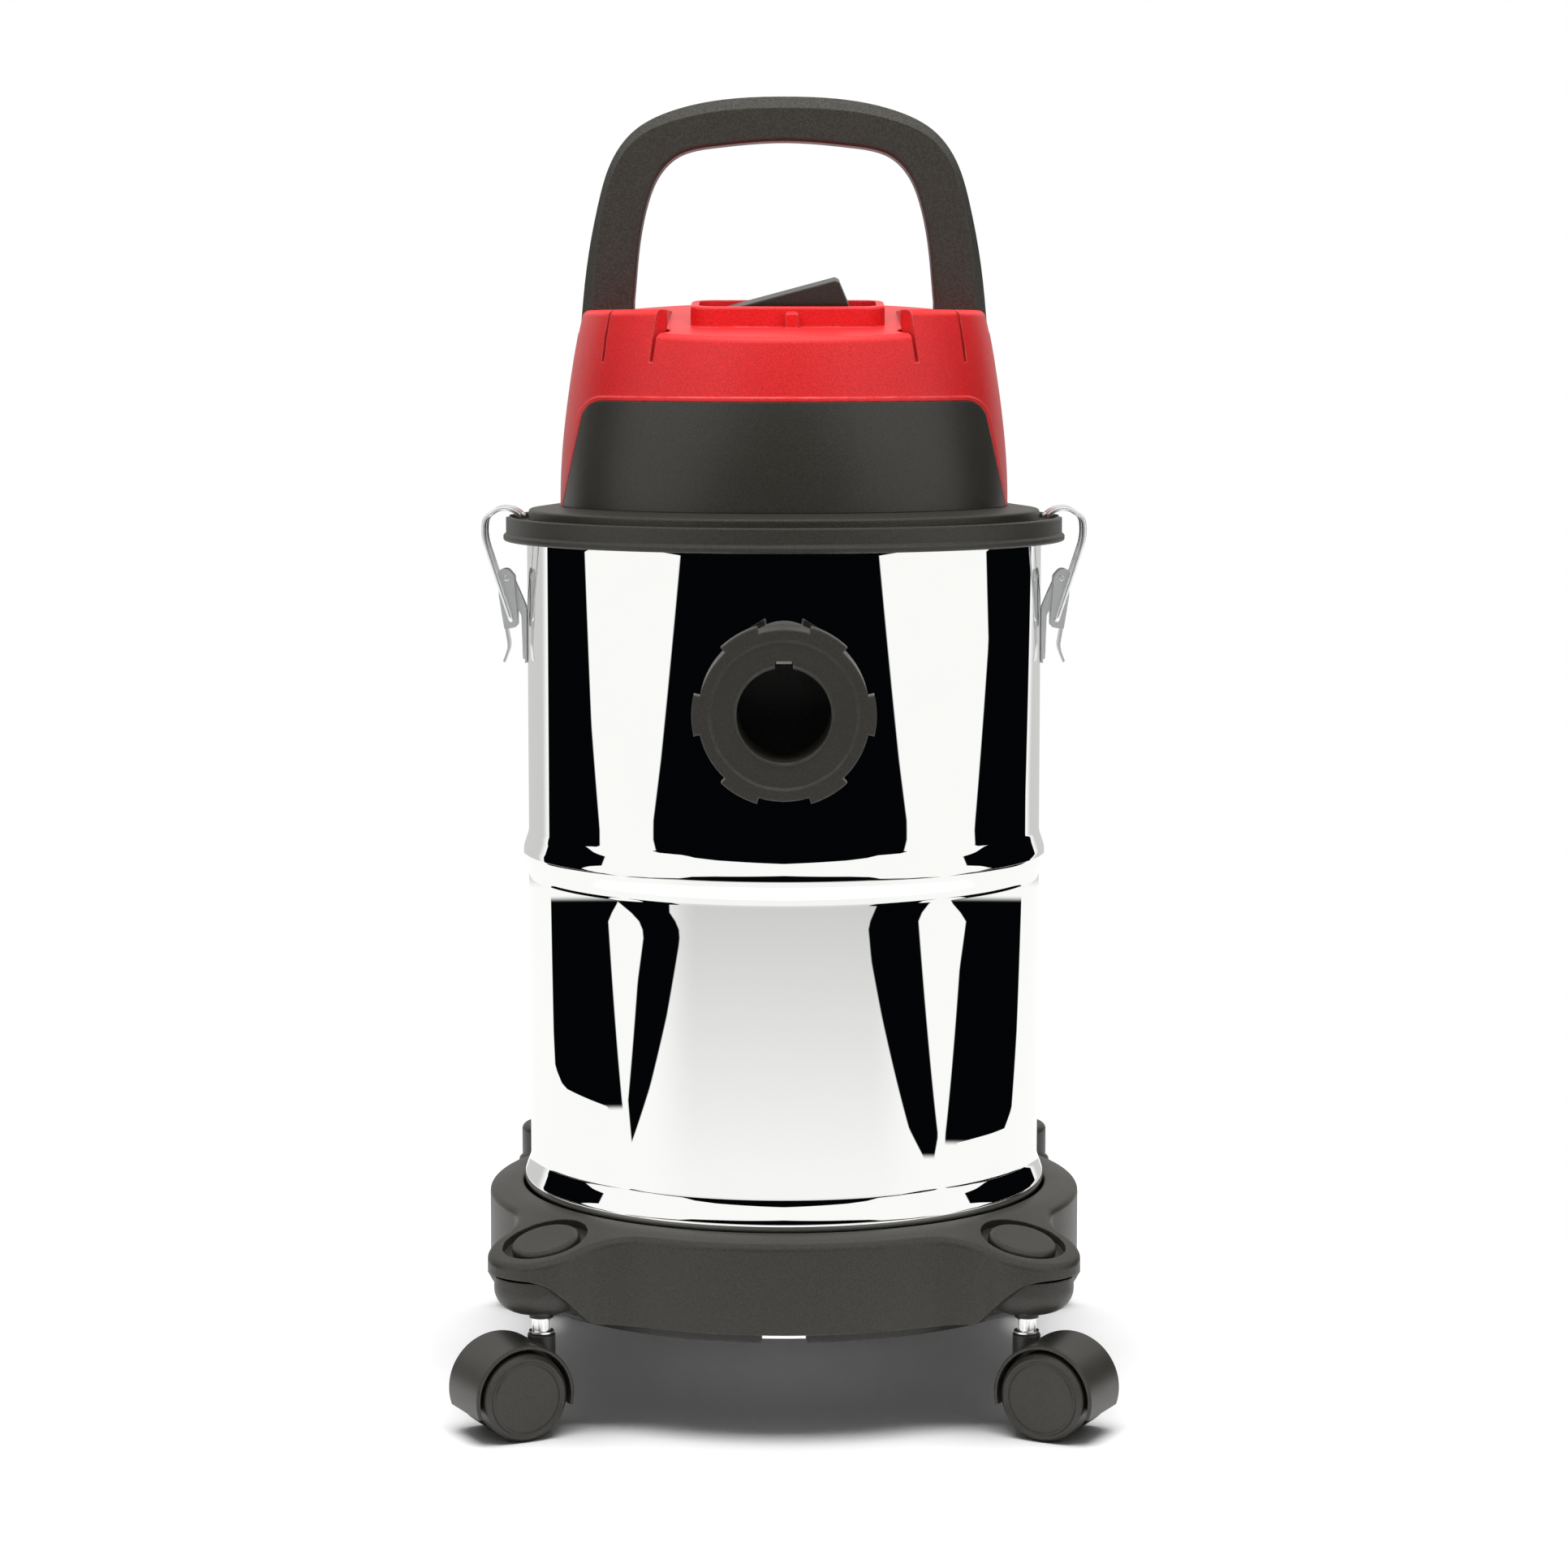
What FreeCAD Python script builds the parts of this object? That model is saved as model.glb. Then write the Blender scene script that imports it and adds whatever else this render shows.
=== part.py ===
import FreeCAD, Part
import math
import os

# Wet and dry shop vacuum. Millimetres, +Z up, the front (hose inlet) faces -Y, +X is to the right
# as seen from the front. The origin is on the floor, on the drum's axis.

V = FreeCAD.Vector
X_AXIS, Y_AXIS, Z_AXIS = V(1, 0, 0), V(0, 1, 0), V(0, 0, 1)
ORIGIN = V(0, 0, 0)

# ---------------------------------------------------------------- driving dimensions
running_fit = 0.05          # radial clearance of a shaft that turns
slip_gap = 0.4              # gap between separate moving pieces
trim_gap = 0.15             # gap between a trim piece and the cover it lies on

# casters
wheel_r = 24.0
wheel_width = 17.0
wheel_gap = 11.0            # between the twin wheels
caster_trail = 18.0
hood_r = 28.6
hood_wall = 2.0
hood_width = 40.0
hood_front_deg = -14.0      # lower end of the hood's front lip, below the axle
hood_rear_deg = 199.0
axle_r = 2.5
stem_housing_r = 7.6
stem_housing_top = 53.5
stem_r = 4.0
stem_collar_r = 6.6
front_swivel_deg = 27.0     # how far the casters are turned from the X direction at rest
rear_swivel_deg = 42.0

# dolly
leg_offset = 132.0          # of each caster stem from the centre, along X and along Y
lobe_offset = 130.0         # of each leg's round end, in the same way
leg_r = 31.0
leg_blend_r = 34.0
dolly_r = 168.5
dolly_seat_r = 149.2
dolly_wall = 3.0
dolly_top = 113.0           # at the seat's edge
brow_r = 158.0              # the top is nearly level up to here, then falls away
brow_slope = 0.045
dolly_slope = 0.29          # fall of the legs' top per millimetre outwards
dolly_bottom = 61.0
dolly_edge_r = 4.0
leg_skirt_z = 88.0
socket_cup_r = 25.5
socket_cup_bottom = 66.5
socket_collar_bottom = 62.5
recess_r = 23.8
recess_depth = 5.0
cap_r = 18.8
post_top = 118.0
post_r = 29.0
post_bore_r = 23.0
post_floor = 99.2           # floor of the tool socket
base_ring_r = 156.5
base_ring_inner_r = 145.5
base_ring_bottom = 54.0
base_ring_top = 70.0
base_ring_wall = 1.8
clip_width = 24.0

# drum
tank_r = 145.0
tank_wall = 1.0
tank_bottom = 84.0
tank_top = 484.0
tank_bead_z = 303.0
tank_bead_rise = 3.75       # of the bead's corner, before it is rounded
tank_bead_half = 11.0
tank_bulge_z = 115.0
tank_bulge_rise = 4.9       # of the bulge's corner, before it is rounded
tank_foot_r = 138.0

# hose inlet
inlet_z = 395.0
inlet_bore_r = 25.0
inlet_spigot_r = 30.0
inlet_back_r = 45.3
inlet_lug_r = 48.6
inlet_lip_r = 26.3
inlet_dish_r = 39.4
inlet_face = 178.0          # distance of the front face from the drum's axis
inlet_ring = 12.0           # length of the castellated ring
inlet_lugs = 6
inlet_lug_deg = 26.0
key_width = 9.4
key_depth = 3.4
key_length = 30.0
inlet_screw_pcd = 78.0

# lid
lid_r = 156.8
lid_bead_r = 158.3
lid_bottom = 478.6
lid_rim_top = 492.0
lid_groove_floor = 488.0
lid_groove_r = 153.4
lid_step_r = 144.0
lid_step_top = 496.0
lid_crown = 498.5
lid_wall = 3.0
well_r = 74.0               # motor well
well_floor = 452.0
eye_r = 22.0                # suction eye in the well's floor

# head cover
cover_base_r = 126.0
cover_wall = 2.6
deck_front_y = -105.0
deck_front_z = 593.0
deck_back_y = 95.0
deck_back_z = 611.0
deck_edge_r = 4.5
shoulder_x = 83.0
shoulder_y = -77.0
shoulder_r = 19.0
shoulder_top = 607.0
shoulder_back_y = 49.0
shoulder_groove = 2.5
shoulder_floor = 578.5
panel_top = 557.5
panel_rise = 2.0            # how far the panel stands proud of the cover
ridge_rise = 1.2
switch_x = 2.0
switch_y = -31.0
bezel_length = 107.0
bezel_depth = 50.0
bezel_height = 11.0
bezel_wall = 4.5
switch_tilt = 15.0          # the rocker's lean either way from level

# cord gland
gland_r = 8.0
gland_bore_r = 3.6
gland_z = 513.0
gland_deg = 128.0           # its place round the cover, from +X

# handle
handle_depth = 28.0
handle_top = 725.2
handle_grip_z = 700.4
handle_foot_z = 595.0
handle_tenon_z = 548.0
handle_edge_r = 6.5
handle_foot_out = 113.5
handle_foot_in = 84.2
handle_tenon_out = 108.5
handle_tenon_in = 86.0
handle_screw_x = 97.0
handle_screw_r = 2.5

# latches
latch_half_width = 8.4      # half the lever's width
pivot_x = 156.5
pivot_z = 457.0
wire_x = 154.0
wire_z = 433.5
wire_r = 1.3
sheet = 1.2                 # latch sheet thickness
latch_pin_r = 1.6
plate_gap = 0.3             # between the drum and the flat latch plate
ear_r = 3.2                 # round end of the plate's ears
rivet_r = 1.6
rivet_heights = (415.5, 433.0)

# motor and float
shaft_r = 4.0
fan_r = 58.0
fan_can_r = 66.0
ball_r = 26.0
cage_r = 30.0
cage_wall = 2.4
cage_bottom = 380.0
cage_screw_pcd = 116.0
filter_r = 60.0
filter_bottom = 374.0
pleats = 32

screw_r = 2.0
screw_head_r = 3.4
screw_head = 2.6

PIECES = {}


def keep(name, *shapes):
    """Put a finished piece, or a group of like pieces, under its node name."""
    PIECES[name] = shapes[0] if len(shapes) == 1 else Part.makeCompound(list(shapes))


# ---------------------------------------------------------------- shape helpers
def outline(corners, place):
    """Closed wire through corners (a, b) or (a, b, radius); a radius is a tangent arc."""
    turns = []
    count = len(corners)
    for i, corner in enumerate(corners):
        here = V(corner[0], corner[1], 0)
        radius = corner[2] if len(corner) > 2 else 0
        if not radius:
            turns.append((here, None, here))
            continue
        back = V(corners[i - 1][0], corners[i - 1][1], 0) - here
        ahead = V(corners[(i + 1) % count][0], corners[(i + 1) % count][1], 0) - here
        back.normalize()
        ahead.normalize()
        half = back.getAngle(ahead) / 2
        middle = back + ahead
        middle.normalize()
        reach = radius / math.tan(half)
        crown = radius / math.sin(half) - radius
        turns.append((here + back * reach, here + middle * crown, here + ahead * reach))
    edges = []
    for i, (start, crown, end) in enumerate(turns):
        if crown is not None:
            edges.append(Part.Arc(place(start), place(crown), place(end)).toShape())
        following = turns[(i + 1) % count][0]
        if (following - end).Length > 1e-6:
            edges.append(Part.LineSegment(place(end), place(following)).toShape())
    return Part.Wire(edges)


def turned(corners, x=0.0, y=0.0):
    """Solid of revolution about the vertical line through (x, y), from a (radius, z) outline."""
    face = Part.Face(outline(corners, lambda p: V(p.x, 0, p.y)))
    solid = face.revolve(ORIGIN, Z_AXIS, 360)
    solid.translate(V(x, y, 0))
    return solid


def prism(corners, low, high, axis="z"):
    """Straight extrusion of an outline: (x, y) up Z, (x, z) along Y or (y, z) along X."""
    places = {
        "z": (lambda p: V(p.x, p.y, low), Z_AXIS),
        "y": (lambda p: V(p.x, low, p.y), Y_AXIS),
        "x": (lambda p: V(low, p.x, p.y), X_AXIS),
    }
    place, direction = places[axis]
    return Part.Face(outline(corners, place)).extrude(direction * (high - low))


def block(x0, x1, y0, y1, z0, z1):
    return Part.makeBox(x1 - x0, y1 - y0, z1 - z0, V(x0, y0, z0))


def rod(radius, low, high, x=0.0, y=0.0):
    return Part.makeCylinder(radius, high - low, V(x, y, low), Z_AXIS)


def tube(outer, inner, low, high, x=0.0, y=0.0):
    return rod(outer, low, high, x, y).cut(rod(inner, low - 1, high + 1, x, y))


def rod_y(radius, low, high, x, z):
    return Part.makeCylinder(radius, high - low, V(x, low, z), Y_AXIS)


def rectangle(half_a, half_b, radius, a=0.0, b=0.0):
    """Corners of a rounded rectangle centred on (a, b)."""
    signs = ((-1, -1), (1, -1), (1, 1), (-1, 1))
    return [(a + i * half_a, b + j * half_b, radius) for i, j in signs]


def around(count, radius, start_deg=0.0):
    """Points evenly spaced on a circle, each with its angle in degrees."""
    angles = [start_deg + 360.0 * i / count for i in range(count)]
    return [(radius * math.cos(math.radians(a)), radius * math.sin(math.radians(a)), a) for a in angles]


def flipped(shape):
    return shape.mirror(ORIGIN, X_AXIS)


def rounded_edges(shape, radius, wanted):
    """Fillet every edge for which wanted(edge) is true."""
    return shape.makeFillet(radius, [edge for edge in shape.Edges if wanted(edge)])


def screw(length, x, y, seat_z, up=1):
    """Pan-head screw along Z: head on one side of seat_z, shank on the other (up is the shank's way)."""
    shank = rod(screw_r, 0, length)
    head = turned([(0, -screw_head), (screw_head_r, -screw_head, 1.2), (screw_head_r, 0), (0, 0)])
    slot = block(-screw_head_r, screw_head_r, -0.5, 0.5, -screw_head - 1, -screw_head + 1.1)
    cross = block(-0.5, 0.5, -screw_head_r, screw_head_r, -screw_head - 1, -screw_head + 1.1)
    made = shank.fuse(head).cut(slot).cut(cross)
    if up < 0:
        made.rotate(ORIGIN, X_AXIS, 180)
    made.translate(V(x, y, seat_z))
    return made


# ---------------------------------------------------------------- casters
CASTERS = {
    "front_left": (-1, -1, 180 + front_swivel_deg),
    "front_right": (1, -1, -front_swivel_deg),
    "rear_left": (-1, 1, 180 - rear_swivel_deg),
    "rear_right": (1, 1, rear_swivel_deg),
}


def set_caster(shape, x, y, heading_deg):
    """Place a caster piece made with its stem on the Z axis and its trail along +X."""
    shape.rotate(ORIGIN, Z_AXIS, heading_deg)
    shape.translate(V(x, y, 0))
    return shape


def caster_wheel(side):
    inner = wheel_gap / 2
    outer = inner + wheel_width
    hub_r = 7.0
    profile = [(axle_r + running_fit, inner), (wheel_r - 3, inner, 2), (wheel_r, inner + 3, 2),
               (wheel_r, outer - 2.5, 2), (wheel_r - 2.2, outer, 0.8), (wheel_r - 3.2, outer, 0.6),
               (wheel_r - 4, outer - 0.8, 0.3), (wheel_r - 5, outer - 0.8, 0.3), (wheel_r - 6, outer - 0.2, 0.4),
               (0, outer + 0.3), (0, outer - 2.5), (hub_r - 3, outer - 2.5),
               (axle_r + running_fit, outer - 2.5)]
    wheel = turned(profile)
    wheel.rotate(ORIGIN, X_AXIS, -90 * side)
    wheel.translate(V(caster_trail, 0, wheel_r))
    return wheel


def caster_hood():
    inner_r = hood_r - hood_wall
    half = hood_width / 2
    shroud = rod_y(hood_r, -half, half, 0, 0)
    shroud = rounded_edges(shroud, 0.9, lambda e: e.Closed)
    bore = rod_y(inner_r, -half - 1, half + 1, 0, 0)
    web = rod_y(inner_r, -wheel_gap / 2 + slip_gap, wheel_gap / 2 - slip_gap, 0, 0)
    hood = shroud.cut(bore).fuse(web)
    far = 3 * hood_r
    front, rear = math.radians(hood_front_deg), math.radians(hood_rear_deg)
    open_sector = [(0, 0), (far * math.cos(rear), far * math.sin(rear)), (0, -2 * far),
                   (far * math.cos(front), far * math.sin(front))]
    mouth = prism(open_sector, -half - 1, half + 1, "y")
    mouth = mouth.cut(rod_y(9.0, -half - 2, half + 2, 0, 0))
    hood = hood.cut(mouth)
    hood = hood.mirror(ORIGIN, X_AXIS)
    hood.translate(V(caster_trail, 0, wheel_r))
    neck = rod(stem_housing_r, 36.0, stem_housing_top)
    neck = rounded_edges(neck, 0.8, lambda e: e.Closed and e.BoundBox.ZMin > stem_housing_top - 0.1)
    wheel_space = rod_y(inner_r, -half - 1, half + 1, caster_trail, wheel_r)
    neck = neck.cut(wheel_space)
    pillar = block(-stem_housing_r, caster_trail, -wheel_gap / 2 + slip_gap, wheel_gap / 2 - slip_gap, 26, 44)
    pillar = pillar.common(rod(stem_housing_r, 20, 60).fuse(block(0, caster_trail, -10, 10, 20, 60)))
    hood = hood.fuse(neck).fuse(pillar)
    hood = hood.cut(rod(stem_r + running_fit, 38.0, stem_housing_top + 1))
    hood = hood.cut(rod_y(axle_r, -30, 30, caster_trail, wheel_r))
    return hood.removeSplitter()


def caster_axle():
    end = wheel_gap / 2 + wheel_width - 3.0
    axle = rod_y(axle_r, -end, end, caster_trail, wheel_r)
    return rounded_edges(axle, 0.5, lambda e: e.Closed)


def caster_stem():
    """Steel stem with its washer and a fluted grip ring, fixed in the leg's socket."""
    stem = rod(stem_r, 39.0, 84.0)
    stem = rounded_edges(stem, 0.8, lambda e: e.Closed)
    washer = turned([(0, stem_housing_top + 0.35), (7.0, stem_housing_top + 0.35, 0.3), (7.0, 55.2, 0.3), (0, 55.2)])
    grip = rod(5.2, 55.2, socket_collar_bottom)
    for x, y, _ in around(16, 5.4):
        grip = grip.cut(rod(0.45, 56.2, socket_collar_bottom - 1, x, y))
    return stem.fuse(washer).fuse(grip).removeSplitter()


def make_casters():
    stems = []
    for name, (side, end, heading) in CASTERS.items():
        x, y = side * leg_offset, end * leg_offset
        stems.append(set_caster(caster_stem(), x, y, heading))
        keep("caster_hood_" + name, set_caster(caster_hood(), x, y, heading))
        keep("caster_axle_" + name, set_caster(caster_axle(), x, y, heading))
        keep("caster_wheel_" + name + "_a", set_caster(caster_wheel(-1), x, y, heading))
        keep("caster_wheel_" + name + "_b", set_caster(caster_wheel(1), x, y, heading))
    keep("caster_stems", *stems)


# ---------------------------------------------------------------- dolly
CORNER_SIGNS = ((1, 1), (-1, 1), (-1, -1), (1, -1))
LEGS = [(i * leg_offset, j * leg_offset) for i, j in CORNER_SIGNS]
LOBES = [(i * lobe_offset, j * lobe_offset) for i, j in CORNER_SIGNS]


def dolly_plan(inset):
    """Plan of the dolly: a round body with four round legs, joined by hollow blend arcs."""
    body_r, lobe_r, blend_r = dolly_r - inset, leg_r - inset, leg_blend_r + inset
    reach = math.hypot(lobe_offset, lobe_offset)
    to_body, to_lobe = body_r + blend_r, lobe_r + blend_r
    turn = math.acos((reach ** 2 + to_body ** 2 - to_lobe ** 2) / (2 * reach * to_body))

    def at(centre, radius, angle):
        return centre + V(math.cos(angle), math.sin(angle), 0) * radius

    edges = []
    for x, y in LOBES:
        leg = V(x, y, 0)
        heading = math.atan2(y, x)
        ends = []
        for side in (-1, 1):
            blend = at(ORIGIN, to_body, heading + side * turn)
            on_body = at(ORIGIN, body_r, heading + side * turn)
            on_lobe = blend + (leg - blend).normalize() * blend_r
            toward = (on_body + on_lobe) * 0.5 - blend
            crown = blend + toward.normalize() * blend_r
            edges.append(Part.Arc(on_body, crown, on_lobe).toShape())
            ends.append(on_lobe)
        edges.append(Part.Arc(ends[0], at(leg, lobe_r, heading), ends[1]).toShape())
        quarter = math.pi / 2
        start = at(ORIGIN, body_r, heading + turn)
        end = at(ORIGIN, body_r, heading + quarter - turn)
        edges.append(Part.Arc(start, at(ORIGIN, body_r, heading + quarter / 2), end).toShape())
    return Part.Wire(Part.__sortEdges__(edges))


def dolly_block(inset, low, high):
    face = Part.Face(dolly_plan(inset))
    face.translate(V(0, 0, low))
    return face.extrude(V(0, 0, high - low))


def top_height(radius):
    if radius < brow_r:
        return dolly_top - (radius - dolly_seat_r) * brow_slope
    return top_height(brow_r - 1e-6) - (radius - brow_r) * dolly_slope


def under_top(drop):
    """Everything below the dolly's top, lowered by drop: nearly level at the seat, falling along the legs."""
    far = 260.0
    return turned([(0, 20), (far, 20), (far, top_height(far) - drop), (brow_r, top_height(brow_r) - drop, 30),
                   (0, top_height(0) - drop)])


def skirt_clearance():
    """Space under the legs: the skirt's lower edge rises from the round body to the leg's end."""
    start = dolly_r + 0.6
    return turned([(start, 40), (start, dolly_bottom), (182, dolly_bottom + 1.5, 8), (207, leg_skirt_z, 15),
                   (260, leg_skirt_z + 4), (260, 40)])


def leg_disc(radius, low, high, x, y, corner=0):
    """Disc on a leg's sloping top; low and high are measured square to the slope, from the surface."""
    reach = math.hypot(x, y)
    disc = turned([(0, low), (radius, low), (radius, high, corner), (0, high)])
    disc.rotate(ORIGIN, V(-y, x, 0), math.degrees(math.atan(dolly_slope)))
    disc.translate(V(x, y, top_height(reach)))
    return disc


def is_outline_edge(edge):
    """True for an edge of the dolly's top outline, which has both ends out on the plan's edge."""
    return edge.BoundBox.ZMin > 90 and all(math.hypot(v.X, v.Y) > dolly_r - 1 for v in edge.Vertexes)


def make_dolly():
    outer = dolly_block(0, dolly_bottom, 130).common(under_top(0))
    outer = rounded_edges(outer, dolly_edge_r, is_outline_edge)
    for x, y in LOBES[:2]:
        post = turned([(0, 90), (post_r, 90), (post_r, post_top, 3.5), (0, post_top)], x, y)
        outer = outer.fuse(post)
    outer = outer.cut(skirt_clearance())
    hollow = dolly_block(dolly_wall, 40, 130).common(under_top(dolly_wall))
    hollow = hollow.cut(tube(dolly_r, dolly_r - dolly_wall, 30, 140))
    pad_bottom = top_height(math.hypot(lobe_offset, lobe_offset)) - recess_depth - 9.5
    pads = [rod(recess_r + 2.5, pad_bottom, 140, x, y) for x, y in LOBES]
    bosses = [rod(9.0, 70, 140, x, y) for x, y in LEGS]
    hollow = hollow.cut(pads[0].multiFuse(pads[1:] + bosses))
    hollow = hollow.cut(tube(dolly_seat_r + 2.4, dolly_seat_r - 60, tank_bottom - dolly_wall, 140))
    screw_points = around(6, (base_ring_r + base_ring_inner_r) / 2)
    hollow = hollow.cut(Part.makeCompound([rod(4.4, base_ring_top, 140, x, y) for x, y, _ in screw_points]))
    body = outer.cut(hollow).cut(rod(dolly_seat_r, tank_bottom, 140)).cut(rod(dolly_seat_r - 30, 40, 140))
    body = rounded_edges(body, 1.8, lambda e: e.Closed and abs(e.BoundBox.XLength - 2 * dolly_seat_r) < 0.1
                         and e.BoundBox.ZMin > dolly_top - 2)
    for x, y in LOBES[2:]:
        body = body.cut(leg_disc(recess_r, -recess_depth, 20, x, y))
    for x, y in LOBES[:2]:
        bore = turned([(0, post_floor), (post_bore_r, post_floor), (post_bore_r, post_top - 1.5),
                       (post_bore_r + 3, post_top + 1.5), (0, post_top + 1.5)], x, y)
        body = body.cut(bore)
    for x, y in LEGS:
        body = body.cut(rod(stem_r + 1.6, 60, 86, x, y))
    for x, y, _ in screw_points:
        body = body.cut(rod(screw_r, base_ring_top - 1, base_ring_top + 15, x, y))
    keep("dolly", body)
    keep("leg_caps", *[leg_disc(cap_r, -recess_depth, 0.3, x, y, 2.6) for x, y in LOBES[2:]])

    cups = []
    ring = rod(dolly_r + 0.6, 40, 120)
    for x, y in LEGS:
        cup = turned([(stem_r, socket_cup_bottom), (socket_cup_r, socket_cup_bottom, 13), (socket_cup_r, 86.5),
                      (socket_cup_r - 2.2, 86.5), (socket_cup_r - 2.2, socket_cup_bottom + 2.4, 11),
                      (stem_r + 1.6, socket_cup_bottom + 2.4), (stem_r + 1.6, 85.8),
                      (stem_r, 85.8)], x, y)
        collar = tube(stem_collar_r, stem_r, socket_collar_bottom, socket_cup_bottom + 1, x, y)
        cups.append(cup.cut(ring).cut(rod(9.0, 70, 100, x, y).cut(rod(stem_r + 1.6, 60, 110, x, y))).fuse(collar)
                    .removeSplitter())
    keep("caster_sockets", *cups)

    low, web = base_ring_bottom, base_ring_top - 2.6
    inside, outside = base_ring_inner_r + base_ring_wall, base_ring_r - base_ring_wall
    hoop = turned([(base_ring_inner_r, low), (inside, low), (inside, web), (outside, web), (outside, low),
                   (base_ring_r, low, 1.0), (base_ring_r, base_ring_top), (base_ring_inner_r, base_ring_top)])
    half = clip_width / 2
    hoop = hoop.cut(block(-half, half, -base_ring_r - 1, -base_ring_r + 3, low - 1, dolly_bottom + 1))
    for x, y, _ in screw_points:
        hoop = hoop.cut(rod(screw_r, base_ring_top - 5, base_ring_top + 1, x, y))
    keep("dolly_base_ring", hoop)
    clip_r = base_ring_r - base_ring_wall
    strip = tube(clip_r, clip_r - 1.0, dolly_bottom - 5.0, dolly_bottom + 4)
    strip = strip.common(block(-half - 3, half + 3, -clip_r - 2, -clip_r + 3, 50, 70))
    keep("base_clip", strip)
    return [screw(14, x, y, base_ring_top - 2.6) for x, y, _ in screw_points]


# ---------------------------------------------------------------- drum
def make_tank():
    w = tank_wall
    side = [(tank_foot_r, tank_bottom), (tank_foot_r + 1, 98, 30), (tank_r + tank_bulge_rise, tank_bulge_z, 10),
            (tank_r, tank_bulge_z + 12.5, 12), (tank_r, tank_bead_z - tank_bead_half, 14),
            (tank_r + tank_bead_rise, tank_bead_z, 12), (tank_r, tank_bead_z + tank_bead_half, 14)]
    rim_r = tank_r + 2.4
    rim = [(tank_r, tank_top - 5, 2), (rim_r, tank_top - 3, 1), (rim_r, tank_top, 1), (tank_r - w, tank_top)]
    inside = [(corner[0] - w,) + corner[1:] for corner in reversed(side)]
    shell = turned(side + rim + inside)
    hole = rod_y(inlet_spigot_r + 0.3, -200, -100, 0, inlet_z)
    shell = shell.cut(hole)
    holes = []
    for x, z, _ in around(4, inlet_screw_pcd / 2, 45):
        holes.append(rod_y(screw_r + 0.2, -200, -100, x, inlet_z + z))
    shell = shell.cut(Part.makeCompound(holes))
    for z in rivet_heights:
        shell = shell.cut(Part.makeCylinder(rivet_r, 400, V(-200, 0, z), X_AXIS))
    keep("tank_shell", shell)
    floor_r = tank_foot_r - w
    keep("tank_floor", turned([(0, tank_bottom + 5), (floor_r - 14, tank_bottom + 5, 4), (floor_r - 10, tank_bottom, 4),
                               (floor_r, tank_bottom, 0.8), (floor_r, tank_bottom + 8), (floor_r - w, tank_bottom + 8),
                               (floor_r - w, tank_bottom + w), (floor_r - 9.5, tank_bottom + w, 3),
                               (floor_r - 13.5, tank_bottom + 5 + w, 5), (0, tank_bottom + 5 + w)]))


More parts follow.
